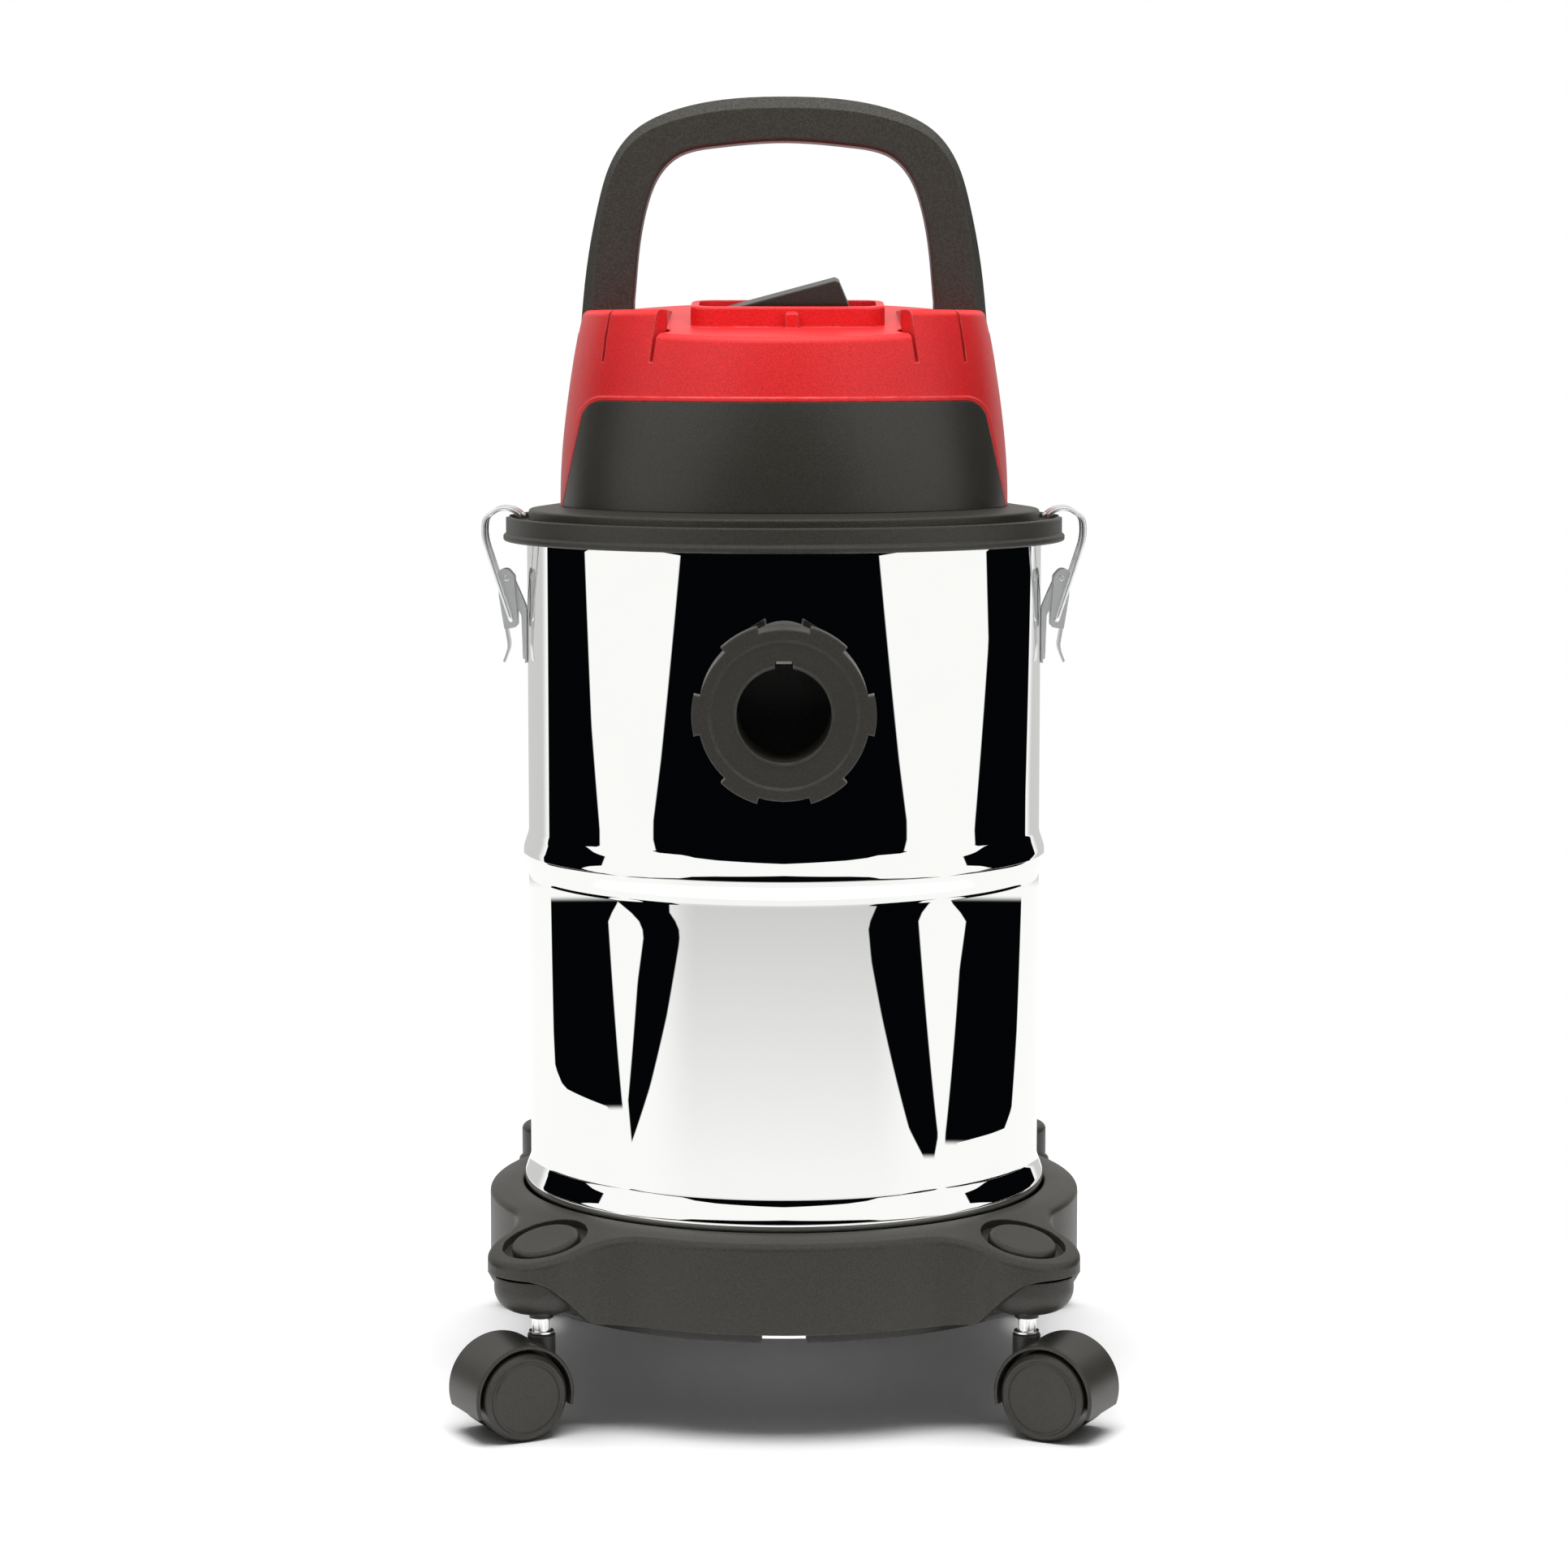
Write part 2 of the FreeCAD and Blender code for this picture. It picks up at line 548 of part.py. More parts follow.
def make_inlet():
    gasket_t = 1.4
    flange = rod_y(inlet_back_r, -inlet_face + inlet_ring, -120, 0, inlet_z)
    front = rod_y(inlet_lug_r, -inlet_face, -inlet_face + inlet_ring, 0, inlet_z)
    notch_deg = 360.0 / inlet_lugs - inlet_lug_deg
    notches = []
    for _, _, angle in around(inlet_lugs, 1, 30):
        wedge = [(0, 0)]
        for edge in (-notch_deg / 2, notch_deg / 2):
            turn = math.radians(angle + edge)
            wedge.append((90 * math.cos(turn), 90 * math.sin(turn)))
        notch = prism(wedge, -inlet_face - 1, -inlet_face + inlet_ring, "y")
        notches.append(notch)
    gaps = Part.makeCompound(notches)
    gaps.translate(V(0, 0, inlet_z))
    core = rod_y(inlet_back_r, -inlet_face - 2, -inlet_face + inlet_ring + 1, 0, inlet_z)
    front = front.cut(gaps.cut(core))
    front = rounded_edges(front, 0.7, lambda e: e.BoundBox.YMax < -inlet_face + 0.01)
    dish = turned([(0, -1), (inlet_dish_r + 1.0, -1), (inlet_dish_r, 0.0), (inlet_dish_r - 0.9, 0.9), (0, 1.6)])
    dish.rotate(ORIGIN, X_AXIS, -90)
    dish.translate(V(0, -inlet_face, inlet_z))
    flange = flange.fuse(front).cut(dish)
    flange = flange.cut(rod(tank_r + gasket_t, inlet_z - 80, inlet_z + 80))
    spigot = rod_y(inlet_spigot_r, -inlet_face + 10, -128, 0, inlet_z)
    lip = turned([(0, -1), (inlet_lip_r, -1), (inlet_lip_r, 2.3, 0.5), (0, 2.3)])
    lip.rotate(ORIGIN, X_AXIS, 90)
    lip.translate(V(0, -inlet_face + 2.6, inlet_z))
    flange = flange.fuse(lip).fuse(spigot).cut(rod_y(inlet_bore_r, -200, -100, 0, inlet_z))
    key = block(-key_width / 2, key_width / 2, -200, -inlet_face + key_length, inlet_z + inlet_bore_r - 1,
                inlet_z + inlet_bore_r + key_depth)
    flange = flange.cut(key)
    screws = []
    for x, z, _ in around(4, inlet_screw_pcd / 2, 45):
        flange = flange.cut(rod_y(screw_r, -160, -100, x, inlet_z + z))
        fastener = screw(18, 0, 0, 0)
        fastener.rotate(ORIGIN, X_AXIS, 90)
        fastener.translate(V(x, -136.0, inlet_z + z))
        screws.append(fastener)
    keep("inlet_flange", flange.removeSplitter())
    keep("inlet_screws", *screws)
    clip_top = inlet_z + inlet_bore_r + key_depth
    keep("hose_key_clip", block(-key_width / 2 + 0.6, key_width / 2 - 0.6, -inlet_face + 2.6, -inlet_face + 9,
                                clip_top - 1.4, clip_top))

    saddle = rod_y(inlet_back_r, -150, -120, 0, inlet_z)
    saddle = saddle.common(tube(tank_r + gasket_t, tank_r, inlet_z - 80, inlet_z + 80))
    saddle = saddle.cut(rod_y(inlet_spigot_r + 0.1, -200, -100, 0, inlet_z))
    for x, z, _ in around(4, inlet_screw_pcd / 2, 45):
        saddle = saddle.cut(rod_y(screw_r + 0.1, -200, -100, x, inlet_z + z))
    keep("inlet_gasket", saddle)

    cup_end = -92.0
    elbow = rod_y(inlet_spigot_r + 3.0, -136.0, cup_end, 0, inlet_z)
    collar = rod_y(inlet_back_r, -150, -136.0, 0, inlet_z)
    collar = collar.common(rod(tank_r - tank_wall, inlet_z - 80, inlet_z + 80))
    elbow = elbow.fuse(collar).cut(rod_y(inlet_spigot_r + 0.1, -200, cup_end - 3, 0, inlet_z))
    window = block(-60, 60, -124, cup_end - 3, inlet_z - 60, inlet_z - 8)
    elbow = elbow.cut(window)
    for x, z, _ in around(4, inlet_screw_pcd / 2, 45):
        elbow = elbow.cut(rod_y(screw_r + 0.1, -200, -100, x, inlet_z + z))
    keep("inlet_elbow", elbow)


# ---------------------------------------------------------------- latches
def latch_ear(y):
    """Side ear of the base plate, which carries the lever's pin."""
    plate_x = tank_r + plate_gap
    ear = prism([(plate_x + 0.2, 411), (plate_x + 2.4, 411, 1), (plate_x + 3.2, 436, 4), (pivot_x + ear_r, pivot_z - 1),
                 (pivot_x - ear_r, pivot_z + 1), (plate_x + 4, 449, 4), (plate_x + 0.2, 440)], y, y + sheet, "y")
    return ear.fuse(rod_y(ear_r, y, y + sheet, pivot_x, pivot_z))


def latch_pieces():
    """Base, lever and bail of the right-hand latch, in the XZ plane, width along Y."""
    plate_x = tank_r + plate_gap
    half = latch_half_width
    ear_y = half - sheet - 1.6
    base = block(plate_x, plate_x + sheet, -ear_y - 2, ear_y + 2, 409, 440)
    base = base.fuse(latch_ear(ear_y - sheet)).fuse(latch_ear(-ear_y))
    base = base.cut(rod_y(latch_pin_r, -20, 20, pivot_x, pivot_z))
    rivets = []
    inner_z, outer_z = -tank_wall - 0.1, plate_gap + sheet
    for z in rivet_heights:
        base = base.cut(Part.makeCylinder(rivet_r, 20, V(tank_r - 10, 0, z), X_AXIS))
        rivet = turned([(0, inner_z - 1.2), (3.2, inner_z - 1.2, 0.8), (3.2, inner_z), (rivet_r, inner_z),
                        (rivet_r, outer_z), (3.4, outer_z), (2.4, outer_z + 1.5, 0.8), (0, outer_z + 1.9)])
        rivet.rotate(ORIGIN, Y_AXIS, 90)
        rivet.translate(V(tank_r, 0, z))
        rivets.append(rivet)
    base = base.removeSplitter()

    pin = rod_y(latch_pin_r, -half - 0.6, half + 0.6, pivot_x, pivot_z)
    pin = rounded_edges(pin, 0.4, lambda e: e.Closed)

    side = [(pivot_x - 4.2, pivot_z + 1.0, 2.5), (pivot_x - 0.5, pivot_z + 5.2, 3), (pivot_x + 4.9, pivot_z + 4.7, 2.5),
            (pivot_x + 4.4, pivot_z - 10, 20), (wire_x + 3.9, wire_z - 5.5, 1), (wire_x - 3.4, wire_z - 4.0, 1.5),
            (wire_x - 3.2, wire_z + 4.0, 2)]
    lever = prism(side, -half, half, "y")
    inside = []
    for corner in side:
        inside.append((corner[0] - sheet, corner[1]) + corner[2:])
    channel = prism([(c[0], c[1]) for c in inside], -half + sheet, half - sheet, "y")
    lever = lever.cut(channel).cut(block(pivot_x - 12, pivot_x + 2.2, -half + sheet, half - sheet, pivot_z - 8, pivot_z + 9))
    tab = [(wire_x + 2.6, wire_z - 4.0), (wire_x + 3.85, wire_z - 4.0), (wire_x + 1.9, wire_z - 15.5, 12),
           (wire_x + 4.9, wire_z - 23.6), (wire_x + 3.8, wire_z - 24.2), (wire_x + 0.5, wire_z - 15.5, 12)]
    lever = lever.fuse(prism(tab, -half + 1.4, half - 1.4, "y"))
    lever = lever.cut(rod_y(latch_pin_r + running_fit, -20, 20, pivot_x, pivot_z))
    lever = lever.cut(rod_y(wire_r + running_fit, -20, 20, wire_x, wire_z)).removeSplitter()

    wire_y = half + 1.9
    route = [(wire_x, wire_z), (163.4, 462.0), (169.4, 480.5), (168.4, 491.0), (160.0, 496.6), (151.5, 495.6),
             (147.6, 491.8)]
    bends = [0, 40, 30, 7, 9, 12, 0]
    bail = wire_loop(route, bends, wire_y, half - sheet - 0.4)
    return base, rivets, pin, lever, bail


def wire_loop(route, bends, wire_y, hook_y):
    """Bail bent from one wire: two like side runs, a bar across the top and hooked lower ends."""
    points = [V(x, -wire_y, z) for x, z in route]
    points += [V(x, wire_y, z) for x, z in reversed(route)]
    points = [V(route[0][0], -hook_y, route[0][1])] + points + [V(route[0][0], hook_y, route[0][1])]
    end_bend = 1.8
    radii = [end_bend] + bends[1:-1] + [end_bend]
    radii = [0] + radii + radii[::-1] + [0]
    edges = []
    last = points[0]
    for i in range(1, len(points) - 1):
        here = points[i]
        back = (points[i - 1] - here).normalize()
        ahead = (points[i + 1] - here).normalize()
        half = back.getAngle(ahead) / 2
        reach = radii[i] / math.tan(half)
        start, end = here + back * reach, here + ahead * reach
        crown = here + (back + ahead).normalize() * (radii[i] / math.sin(half) - radii[i])
        edges.append(Part.LineSegment(last, start).toShape())
        edges.append(Part.Arc(start, crown, end).toShape())
        last = end
    edges.append(Part.LineSegment(last, points[-1]).toShape())
    path = Part.Wire(edges)
    section = Part.Wire(Part.makeCircle(wire_r, points[0], V(0, 1, 0)))
    return path.makePipeShell([section], True, False)


def make_latches():
    base, rivets, pin, lever, bail = latch_pieces()
    keep("latch_base_right", base)
    keep("latch_lever_right", lever)
    keep("latch_bail_right", bail)
    keep("latch_base_left", flipped(base))
    keep("latch_lever_left", flipped(lever))
    keep("latch_bail_left", flipped(bail))
    keep("latch_rivets", *(rivets + [flipped(r) for r in rivets]))
    keep("latch_pins", pin, flipped(pin))


# ---------------------------------------------------------------- lid
HEAD_SCREWS = around(6, 118.5, 30)


def make_lid():
    pocket_in, pocket_out = tank_r - 2.0, tank_r + 4.2
    seat = tank_top + 2.0
    lid = turned([(pocket_out, lid_bottom), (lid_bead_r, lid_bottom, 1.2), (lid_bead_r, lid_bottom + 3, 1.0),
                  (lid_r, lid_bottom + 4.2, 0.8), (lid_r, lid_rim_top, 1.0), (lid_groove_r, lid_rim_top, 0.8),
                  (lid_groove_r, lid_groove_floor, 0.8), (lid_step_r, lid_groove_floor, 0.8), (lid_step_r, lid_step_top, 1.5),
                  (cover_base_r + 1, lid_crown), (well_r + lid_wall, lid_crown), (well_r, lid_crown, 1),
                  (well_r, well_floor + lid_wall, 2), (eye_r, well_floor + lid_wall), (eye_r, well_floor),
                  (well_r + lid_wall, well_floor, 4), (well_r + lid_wall, lid_crown - lid_wall, 4),
                  (cover_base_r + 1, lid_crown - lid_wall),
                  (lid_step_r - lid_wall, lid_step_top - lid_wall, 2), (lid_step_r - lid_wall, 478, 0),
                  (pocket_in, 478, 0), (pocket_in, seat, 0), (pocket_out, seat, 0)])
    for side in (-1, 1):
        tower_x = side * handle_screw_x
        bore_r = handle_screw_r + 0.2
        tower = tube(9.0, bore_r, lid_crown - lid_wall - 1, handle_tenon_z, tower_x)
        lid = lid.fuse(tower).cut(rod(bore_r, 480, 560, tower_x))
        lid = lid.cut(block(min(side * 149, side * 170), max(side * 149, side * 170), -13.5, 13.5, lid_groove_floor + 0.4, 500))
    for x, y, _ in HEAD_SCREWS:
        lid = lid.cut(rod(screw_r + 0.1, 480, 510, x, y))
    for x, y, _ in around(4, cage_screw_pcd / 2, 45):
        lid = lid.fuse(rod(5.0, well_floor + 1, 459.0, x, y)).cut(rod(1.6, well_floor - 1, 462, x, y))
    keep("lid", lid.removeSplitter())
    keep("lid_gasket", turned([(pocket_in + 0.3, tank_top, 0), (pocket_out - 0.3, tank_top, 0), (pocket_out - 0.3, seat, 0),
                               (pocket_in + 0.3, seat, 0)]))
    return [screw(14, x, y, lid_crown - lid_wall) for x, y, _ in HEAD_SCREWS]


# ---------------------------------------------------------------- head cover
COVER_HEIGHTS = [(0.0, 0.0), (33.0, 1.4), (66.0, 5.4), (100.0, 11.4), (126.0, 18.6)]


def cover_core(inset, low, high):
    """Barrel-shaped body of the cover: the radius shrinks with height along one smooth curve."""
    curve = Part.BSplineCurve()
    curve.interpolate([V(cover_base_r - drop - inset, 0, lid_crown + rise) for rise, drop in COVER_HEIGHTS])
    side = curve.toShape()
    top_r = cover_base_r - COVER_HEIGHTS[-1][1] - inset
    top = lid_crown + COVER_HEIGHTS[-1][0]
    corners = [V(top_r, 0, top), V(0, 0, top), V(0, 0, lid_crown), V(cover_base_r - inset, 0, lid_crown)]
    edges = [side] + [Part.LineSegment(a, b).toShape() for a, b in zip(corners, corners[1:])]
    body = Part.Face(Part.Wire(edges)).revolve(ORIGIN, Z_AXIS, 360)
    return body.common(rod(200, low, high))


def deck_z(y):
    return deck_front_z + (y - deck_front_y) * (deck_back_z - deck_front_z) / (deck_back_y - deck_front_y)


def above_deck(lift):
    return prism([(-200, deck_z(-200) + lift), (200, deck_z(200) + lift), (200, 800), (-200, 800)], -200, 200, "x")


def on_deck(shape):
    """Move a shape made about the origin, z up from the deck, to the switch's place on the sloping deck."""
    slope = math.degrees(math.atan2(deck_back_z - deck_front_z, deck_back_y - deck_front_y))
    shape.rotate(ORIGIN, X_AXIS, slope)
    shape.translate(V(switch_x, switch_y, deck_z(switch_y)))
    return shape


def shoulder(side, inset):
    """Level shoulder beside the deck: round at the front, it runs back past the handle's foot."""
    radius = shoulder_r - inset
    low, high = deck_front_z - 12, shoulder_top - inset
    x0, x1 = sorted((side * (shoulder_x - radius), side * 150))
    footprint = block(x0, x1, shoulder_y, shoulder_back_y, low, high)
    footprint = footprint.fuse(rod(radius, low, high, side * shoulder_x, shoulder_y)).removeSplitter()
    solid = cover_core(inset, low, high).common(footprint)
    if inset:
        return solid
    solid = rounded_edges(solid, deck_edge_r, lambda e: e.BoundBox.ZMin > high - 0.01
                          and min(math.hypot(v.X, v.Y) for v in e.Vertexes) > 105 and e.BoundBox.YLength > 60)
    return solid


def panel_window(grow):
    """Front view of the front panel, wider at its foot, with rounded upper corners."""
    foot, shoulder = 122.5 + grow, 109.0 + grow
    return prism([(-foot - 3, lid_crown - 10), (foot + 3, lid_crown - 10), (foot, lid_crown + 2),
                  (shoulder, panel_top + grow, 13 + grow), (-shoulder, panel_top + grow, 13 + grow),
                  (-foot, lid_crown + 2)], -200, -20, "y")


def switch_opening(clearance):
    return block(-38.5 - clearance, 38.5 + clearance, -17 - clearance, 17 + clearance, -40, 20)


def make_cover():
    outer = cover_core(0, lid_crown, 700).cut(above_deck(0))
    outer = rounded_edges(outer, deck_edge_r, lambda e: e.BoundBox.XLength > 150 and e.BoundBox.ZMin > deck_front_z - 8)
    inner = cover_core(cover_wall, lid_crown - 1, 700).cut(above_deck(-cover_wall))
    inner = inner.fuse(rod(cover_base_r - cover_wall, lid_crown - 2, lid_crown + 0.01))
    for side in (-1, 1):
        outer = outer.fuse(shoulder(side, 0))
        inner = inner.fuse(shoulder(side, cover_wall))
        inner = inner.cut(rod(shoulder_r + shoulder_groove + cover_wall, shoulder_floor - cover_wall, 700,
                              side * shoulder_x, shoulder_y))
    screw_posts = [rod(6.0, lid_crown, lid_crown + 18, x, y) for x, y, _ in HEAD_SCREWS]
    inner = inner.cut(Part.makeCompound(screw_posts))
    cover = outer.cut(inner)
    for x, y, _ in HEAD_SCREWS:
        cover = cover.cut(rod(screw_r, lid_crown - 1, lid_crown + 14, x, y))

    bezel = prism(rectangle(bezel_length / 2, bezel_depth / 2, 12), -cover_wall, bezel_height)
    bezel = rounded_edges(bezel, 1.4, lambda e: e.BoundBox.ZMin > bezel_height - 0.1)
    rib_top = bezel_height - 2.8
    rib = block(-1.0, 5.7, -bezel_depth / 2 - 5.5, -bezel_depth / 2 + 2, -1.5, rib_top)
    rib = rounded_edges(rib, 1.4, lambda e: e.BoundBox.ZMin > rib_top - 0.1)
    bezel = on_deck(bezel.fuse(rib))
    well = prism(rectangle(bezel_length / 2 - bezel_wall, bezel_depth / 2 - bezel_wall, 9), 0.5, bezel_height + 5)
    cover = cover.fuse(bezel).cut(on_deck(well)).cut(on_deck(switch_opening(0.2)))

    for side in (-1, 1):
        x = side * shoulder_x
        groove = tube(shoulder_r + shoulder_groove, shoulder_r, shoulder_floor, 700, x, shoulder_y)
        cover = cover.cut(groove)
        outer_x, inner_x = handle_foot_out + slip_gap, handle_foot_in - slip_gap
        half_y = handle_depth / 2 + slip_gap
        low_x, high_x = sorted((side * inner_x, side * (outer_x + 20)))
        cover = cover.cut(block(low_x, high_x, -half_y, half_y, handle_foot_z - slip_gap, 700))
        low_x, high_x = sorted((side * (handle_tenon_in - 0.5), side * (handle_tenon_out + 0.5)))
        cover = cover.cut(block(low_x, high_x, -half_y, half_y, 570, 700))

    ridge = cover_core(-ridge_rise, lid_crown, panel_top + 4).cut(cover_core(0.5, 490, 700))
    ridge = ridge.common(panel_window(2.4)).cut(panel_window(0.15))
    cover = cover.fuse(ridge)

    vent = prism(rectangle(48.15, 17.15, 5, 0, 545), 100, 140, "y")
    gland_hole = Part.makeCylinder(gland_r + 0.1, 60, V(90, 0, gland_z), X_AXIS)
    gland_hole.rotate(ORIGIN, Z_AXIS, gland_deg)
    cover = cover.cut(vent).cut(gland_hole)
    keep("head_cover", cover.removeSplitter())

    panel = cover_core(-panel_rise, lid_crown, 700).cut(cover_core(-trim_gap, lid_crown - 1, 700))
    panel = panel.common(panel_window(0))
    keep("front_panel", panel)

    frame = cover_core(-1.2, lid_crown, 700).cut(cover_core(cover_wall, lid_crown - 1, 700))
    frame = frame.common(prism(rectangle(48, 17, 5, 0, 545), 90, 150, "y"))
    slots = [block(-43, 43, 90, 150, z, z + 2.6) for z in (532.5, 538.5, 544.5, 550.5, 556.5)]
    keep("exhaust_grille", frame.cut(Part.makeCompound(slots)))


def make_gland():
    """Cord inlet at the back of the head, left empty."""
    bore = gland_bore_r
    gland = turned([(bore, -12), (gland_r, -12, 1), (gland_r, 0), (gland_r + 2.5, 0, 1), (gland_r + 1.5, 4, 2),
                    (bore + 2.2, 12, 1), (bore, 12)])
    gland.rotate(ORIGIN, Y_AXIS, 90)
    gland.translate(V(cover_base_r + 0.05, 0, gland_z))
    gland.rotate(ORIGIN, Z_AXIS, gland_deg)
    keep("cable_gland", gland)


def make_handle():
    """Moulded arch: an outer and an inner smooth curve, square feet and a tenon inside the cover."""
    outer_half = [(113.5, 601), (110.6, 629), (103.5, 667), (96, 690), (84, 706), (62, 717.5)]
    inner_half = [(84.0, 612), (81.4, 640), (76.4, 666), (70, 681.5), (60.5, 691.5), (38, 697.6)]
    half_depth = handle_depth / 2

    def arch(points, top, start_z):
        curve = Part.BSplineCurve()
        right = [V(x, -half_depth, z) for x, z in points]
        left = [V(-p.x, p.y, p.z) for p in reversed(right)]
        curve.interpolate(right + [V(0, -half_depth, top)] + left)
        return curve.toShape(), right[0], left[-1]

    outer, outer_right, outer_left = arch(outer_half, handle_top, 601)
    inner, inner_right, inner_left = arch(inner_half, handle_grip_z, 612)
    def leg(side, start, end):
        corners = [(handle_foot_out, handle_foot_z), (handle_tenon_out, handle_foot_z),
                   (handle_tenon_out, handle_tenon_z), (handle_tenon_in, handle_tenon_z),
                   (handle_tenon_in, handle_foot_z), (handle_foot_in, handle_foot_z)]
        points = [start] + [V(side * x, -half_depth, z) for x, z in corners] + [end]
        return [Part.LineSegment(a, b).toShape() for a, b in zip(points, points[1:])]

    edges = [outer, inner] + leg(1, outer_right, inner_right) + leg(-1, outer_left, inner_left)
    wire = Part.Wire(Part.__sortEdges__(edges))
    handle = Part.Face(wire).extrude(V(0, handle_depth, 0))

    def long_edge(edge):
        box = edge.BoundBox
        return box.XLength > 120 and box.YLength < 0.1 and box.ZMin > 590

    handle = handle.makeChamfer(handle_edge_r, [e for e in handle.Edges if long_edge(e) and e.BoundBox.XLength > 200])
    handle = handle.makeFillet(2.5, [e for e in handle.Edges if long_edge(e) and e.BoundBox.XLength < 170])
    screws = []
    for side in (-1, 1):
        x = side * handle_screw_x
        handle = handle.cut(rod(handle_screw_r, handle_tenon_z - 1, handle_tenon_z + 22, x))
        shank = rod(handle_screw_r, lid_crown - lid_wall, handle_tenon_z + 20, x)
        head = turned([(0, 0), (4.6, 0, 1.2), (4.6, 3.2), (0, 3.2)], x)
        head.translate(V(0, 0, lid_crown - lid_wall - 3.2 - 1.0))
        screws.append(head.fuse(rod(handle_screw_r, lid_crown - lid_wall - 1.2, lid_crown, x)).fuse(shank))
    keep("handle", handle)
    keep("handle_screws", *screws)


def make_switch():
    body = prism(rectangle(38.5, 17, 2), -28, 3.6).cut(block(-36.6, 36.6, -14.4, 14.4, -14, 20))
    body = body.cut(rod_y(2.0 + running_fit, -16.0, 16.0, 0, 1.0))
    keep("switch_body", on_deck(body))
    rocker = prism([(-35.4, -1.0, 1.5), (-9, -6, 6), (9, -6, 6), (35.4, -1.0, 1.5), (33.2, 14.4, 1), (31.4, 16.0, 1.2),
                    (-31.4, 16.0, 1.2), (-33.2, 14.4, 1)], -14.0, 14.0, "y")
    rocker = rounded_edges(rocker, 0.8, lambda e: e.BoundBox.YLength < 0.1 and e.BoundBox.ZMin > 0)
    pins = rod_y(2.0, -15.6, 15.6, 0, 0)
    rocker = rocker.fuse(pins)
    rocker.rotate(ORIGIN, Y_AXIS, -switch_tilt)
    rocker.translate(V(0, 0, 1.0))
    keep("switch_rocker", on_deck(rocker))


# ---------------------------------------------------------------- motor, float and filter
def make_motor():
    can_low, can_high = 459.0, 503.0
    eye = 20.0
    can = rod(fan_can_r, can_low, can_high)
    can = rounded_edges(can, 5, lambda e: e.Closed)
    can = can.cut(rod(fan_can_r - 1.5, can_low + 1.5, can_high - 1.5)).cut(rod(eye, 400, can_low + 5))
    can = can.cut(rod(8.1, can_high - 5, can_high + 5))
    outlets = []
    for _, _, angle in around(8, 1):
        port = block(fan_can_r - 10, fan_can_r + 5, -9, 9, 484, 496)
        port.rotate(ORIGIN, Z_AXIS, angle)
        outlets.append(port)
    keep("fan_housing", can.cut(Part.makeCompound(outlets)))

    lower, upper = 465.0, 479.0
    impeller = tube(fan_r, 18.0, lower, lower + 1.2).fuse(rod(fan_r, upper, upper + 1.2))
    vanes = []
    for _, _, angle in around(8, 1):
        vane = block(20, fan_r - 1, -0.6, 0.6, lower + 1.2, upper)
        vane.rotate(V(20, 0, 0), Z_AXIS, 28)
        vane.rotate(ORIGIN, Z_AXIS, angle)
        vanes.append(vane.common(rod(fan_r, 460, 490)))
    impeller = impeller.multiFuse(vanes).fuse(rod(8, 470, 484)).cut(rod(shaft_r, 400, 600))
    keep("impeller", impeller.removeSplitter())

    rotor = rod(shaft_r, 468, 578).fuse(rod(24, 520, 556)).fuse(rod(12, 561, 571))
    for x, y, _ in around(12, 24):
        rotor = rotor.cut(rod(1.8, 510, 557, x, y))
    keep("motor_rotor", rotor)

    stator = tube(43, 25, 516, 560).cut(block(-50, 50, 34, 60, 500, 600)).cut(block(-50, 50, -60, -34, 500, 600))
    legs = [rod(4, can_high, 516, x, y) for x, y, _ in around(4, 36, 0)]
    keep("motor_stator", stator.multiFuse(legs))
    lower_ring = tube(8.1, shaft_r + running_fit, can_high - 5, can_high + 3)
    upper_ring = tube(8.0, shaft_r + running_fit, 573, 578.5)
    keep("motor_bearings", lower_ring, upper_ring)
    bridge = block(-42, 42, -9, 9, 573, 579).fuse(tube(10.4, 8.0, 573, 579))
    feet = [block(side * 38 - 4, side * 38 + 4, -9, 9, 560, 574) for side in (-1, 1)]
    bridge = bridge.multiFuse(feet).cut(rod(8.0, 570, 580))
    keep("motor_bridge", bridge.removeSplitter())
    brushes = [block(min(s * 12.3, s * 34), max(s * 12.3, s * 34), -3, 3, 562, 570) for s in (-1, 1)]
    keep("motor_brushes", *brushes)
    keep("motor_gasket", tube(54.0 - 1.5, eye + 4, well_floor + lid_wall, can_low))


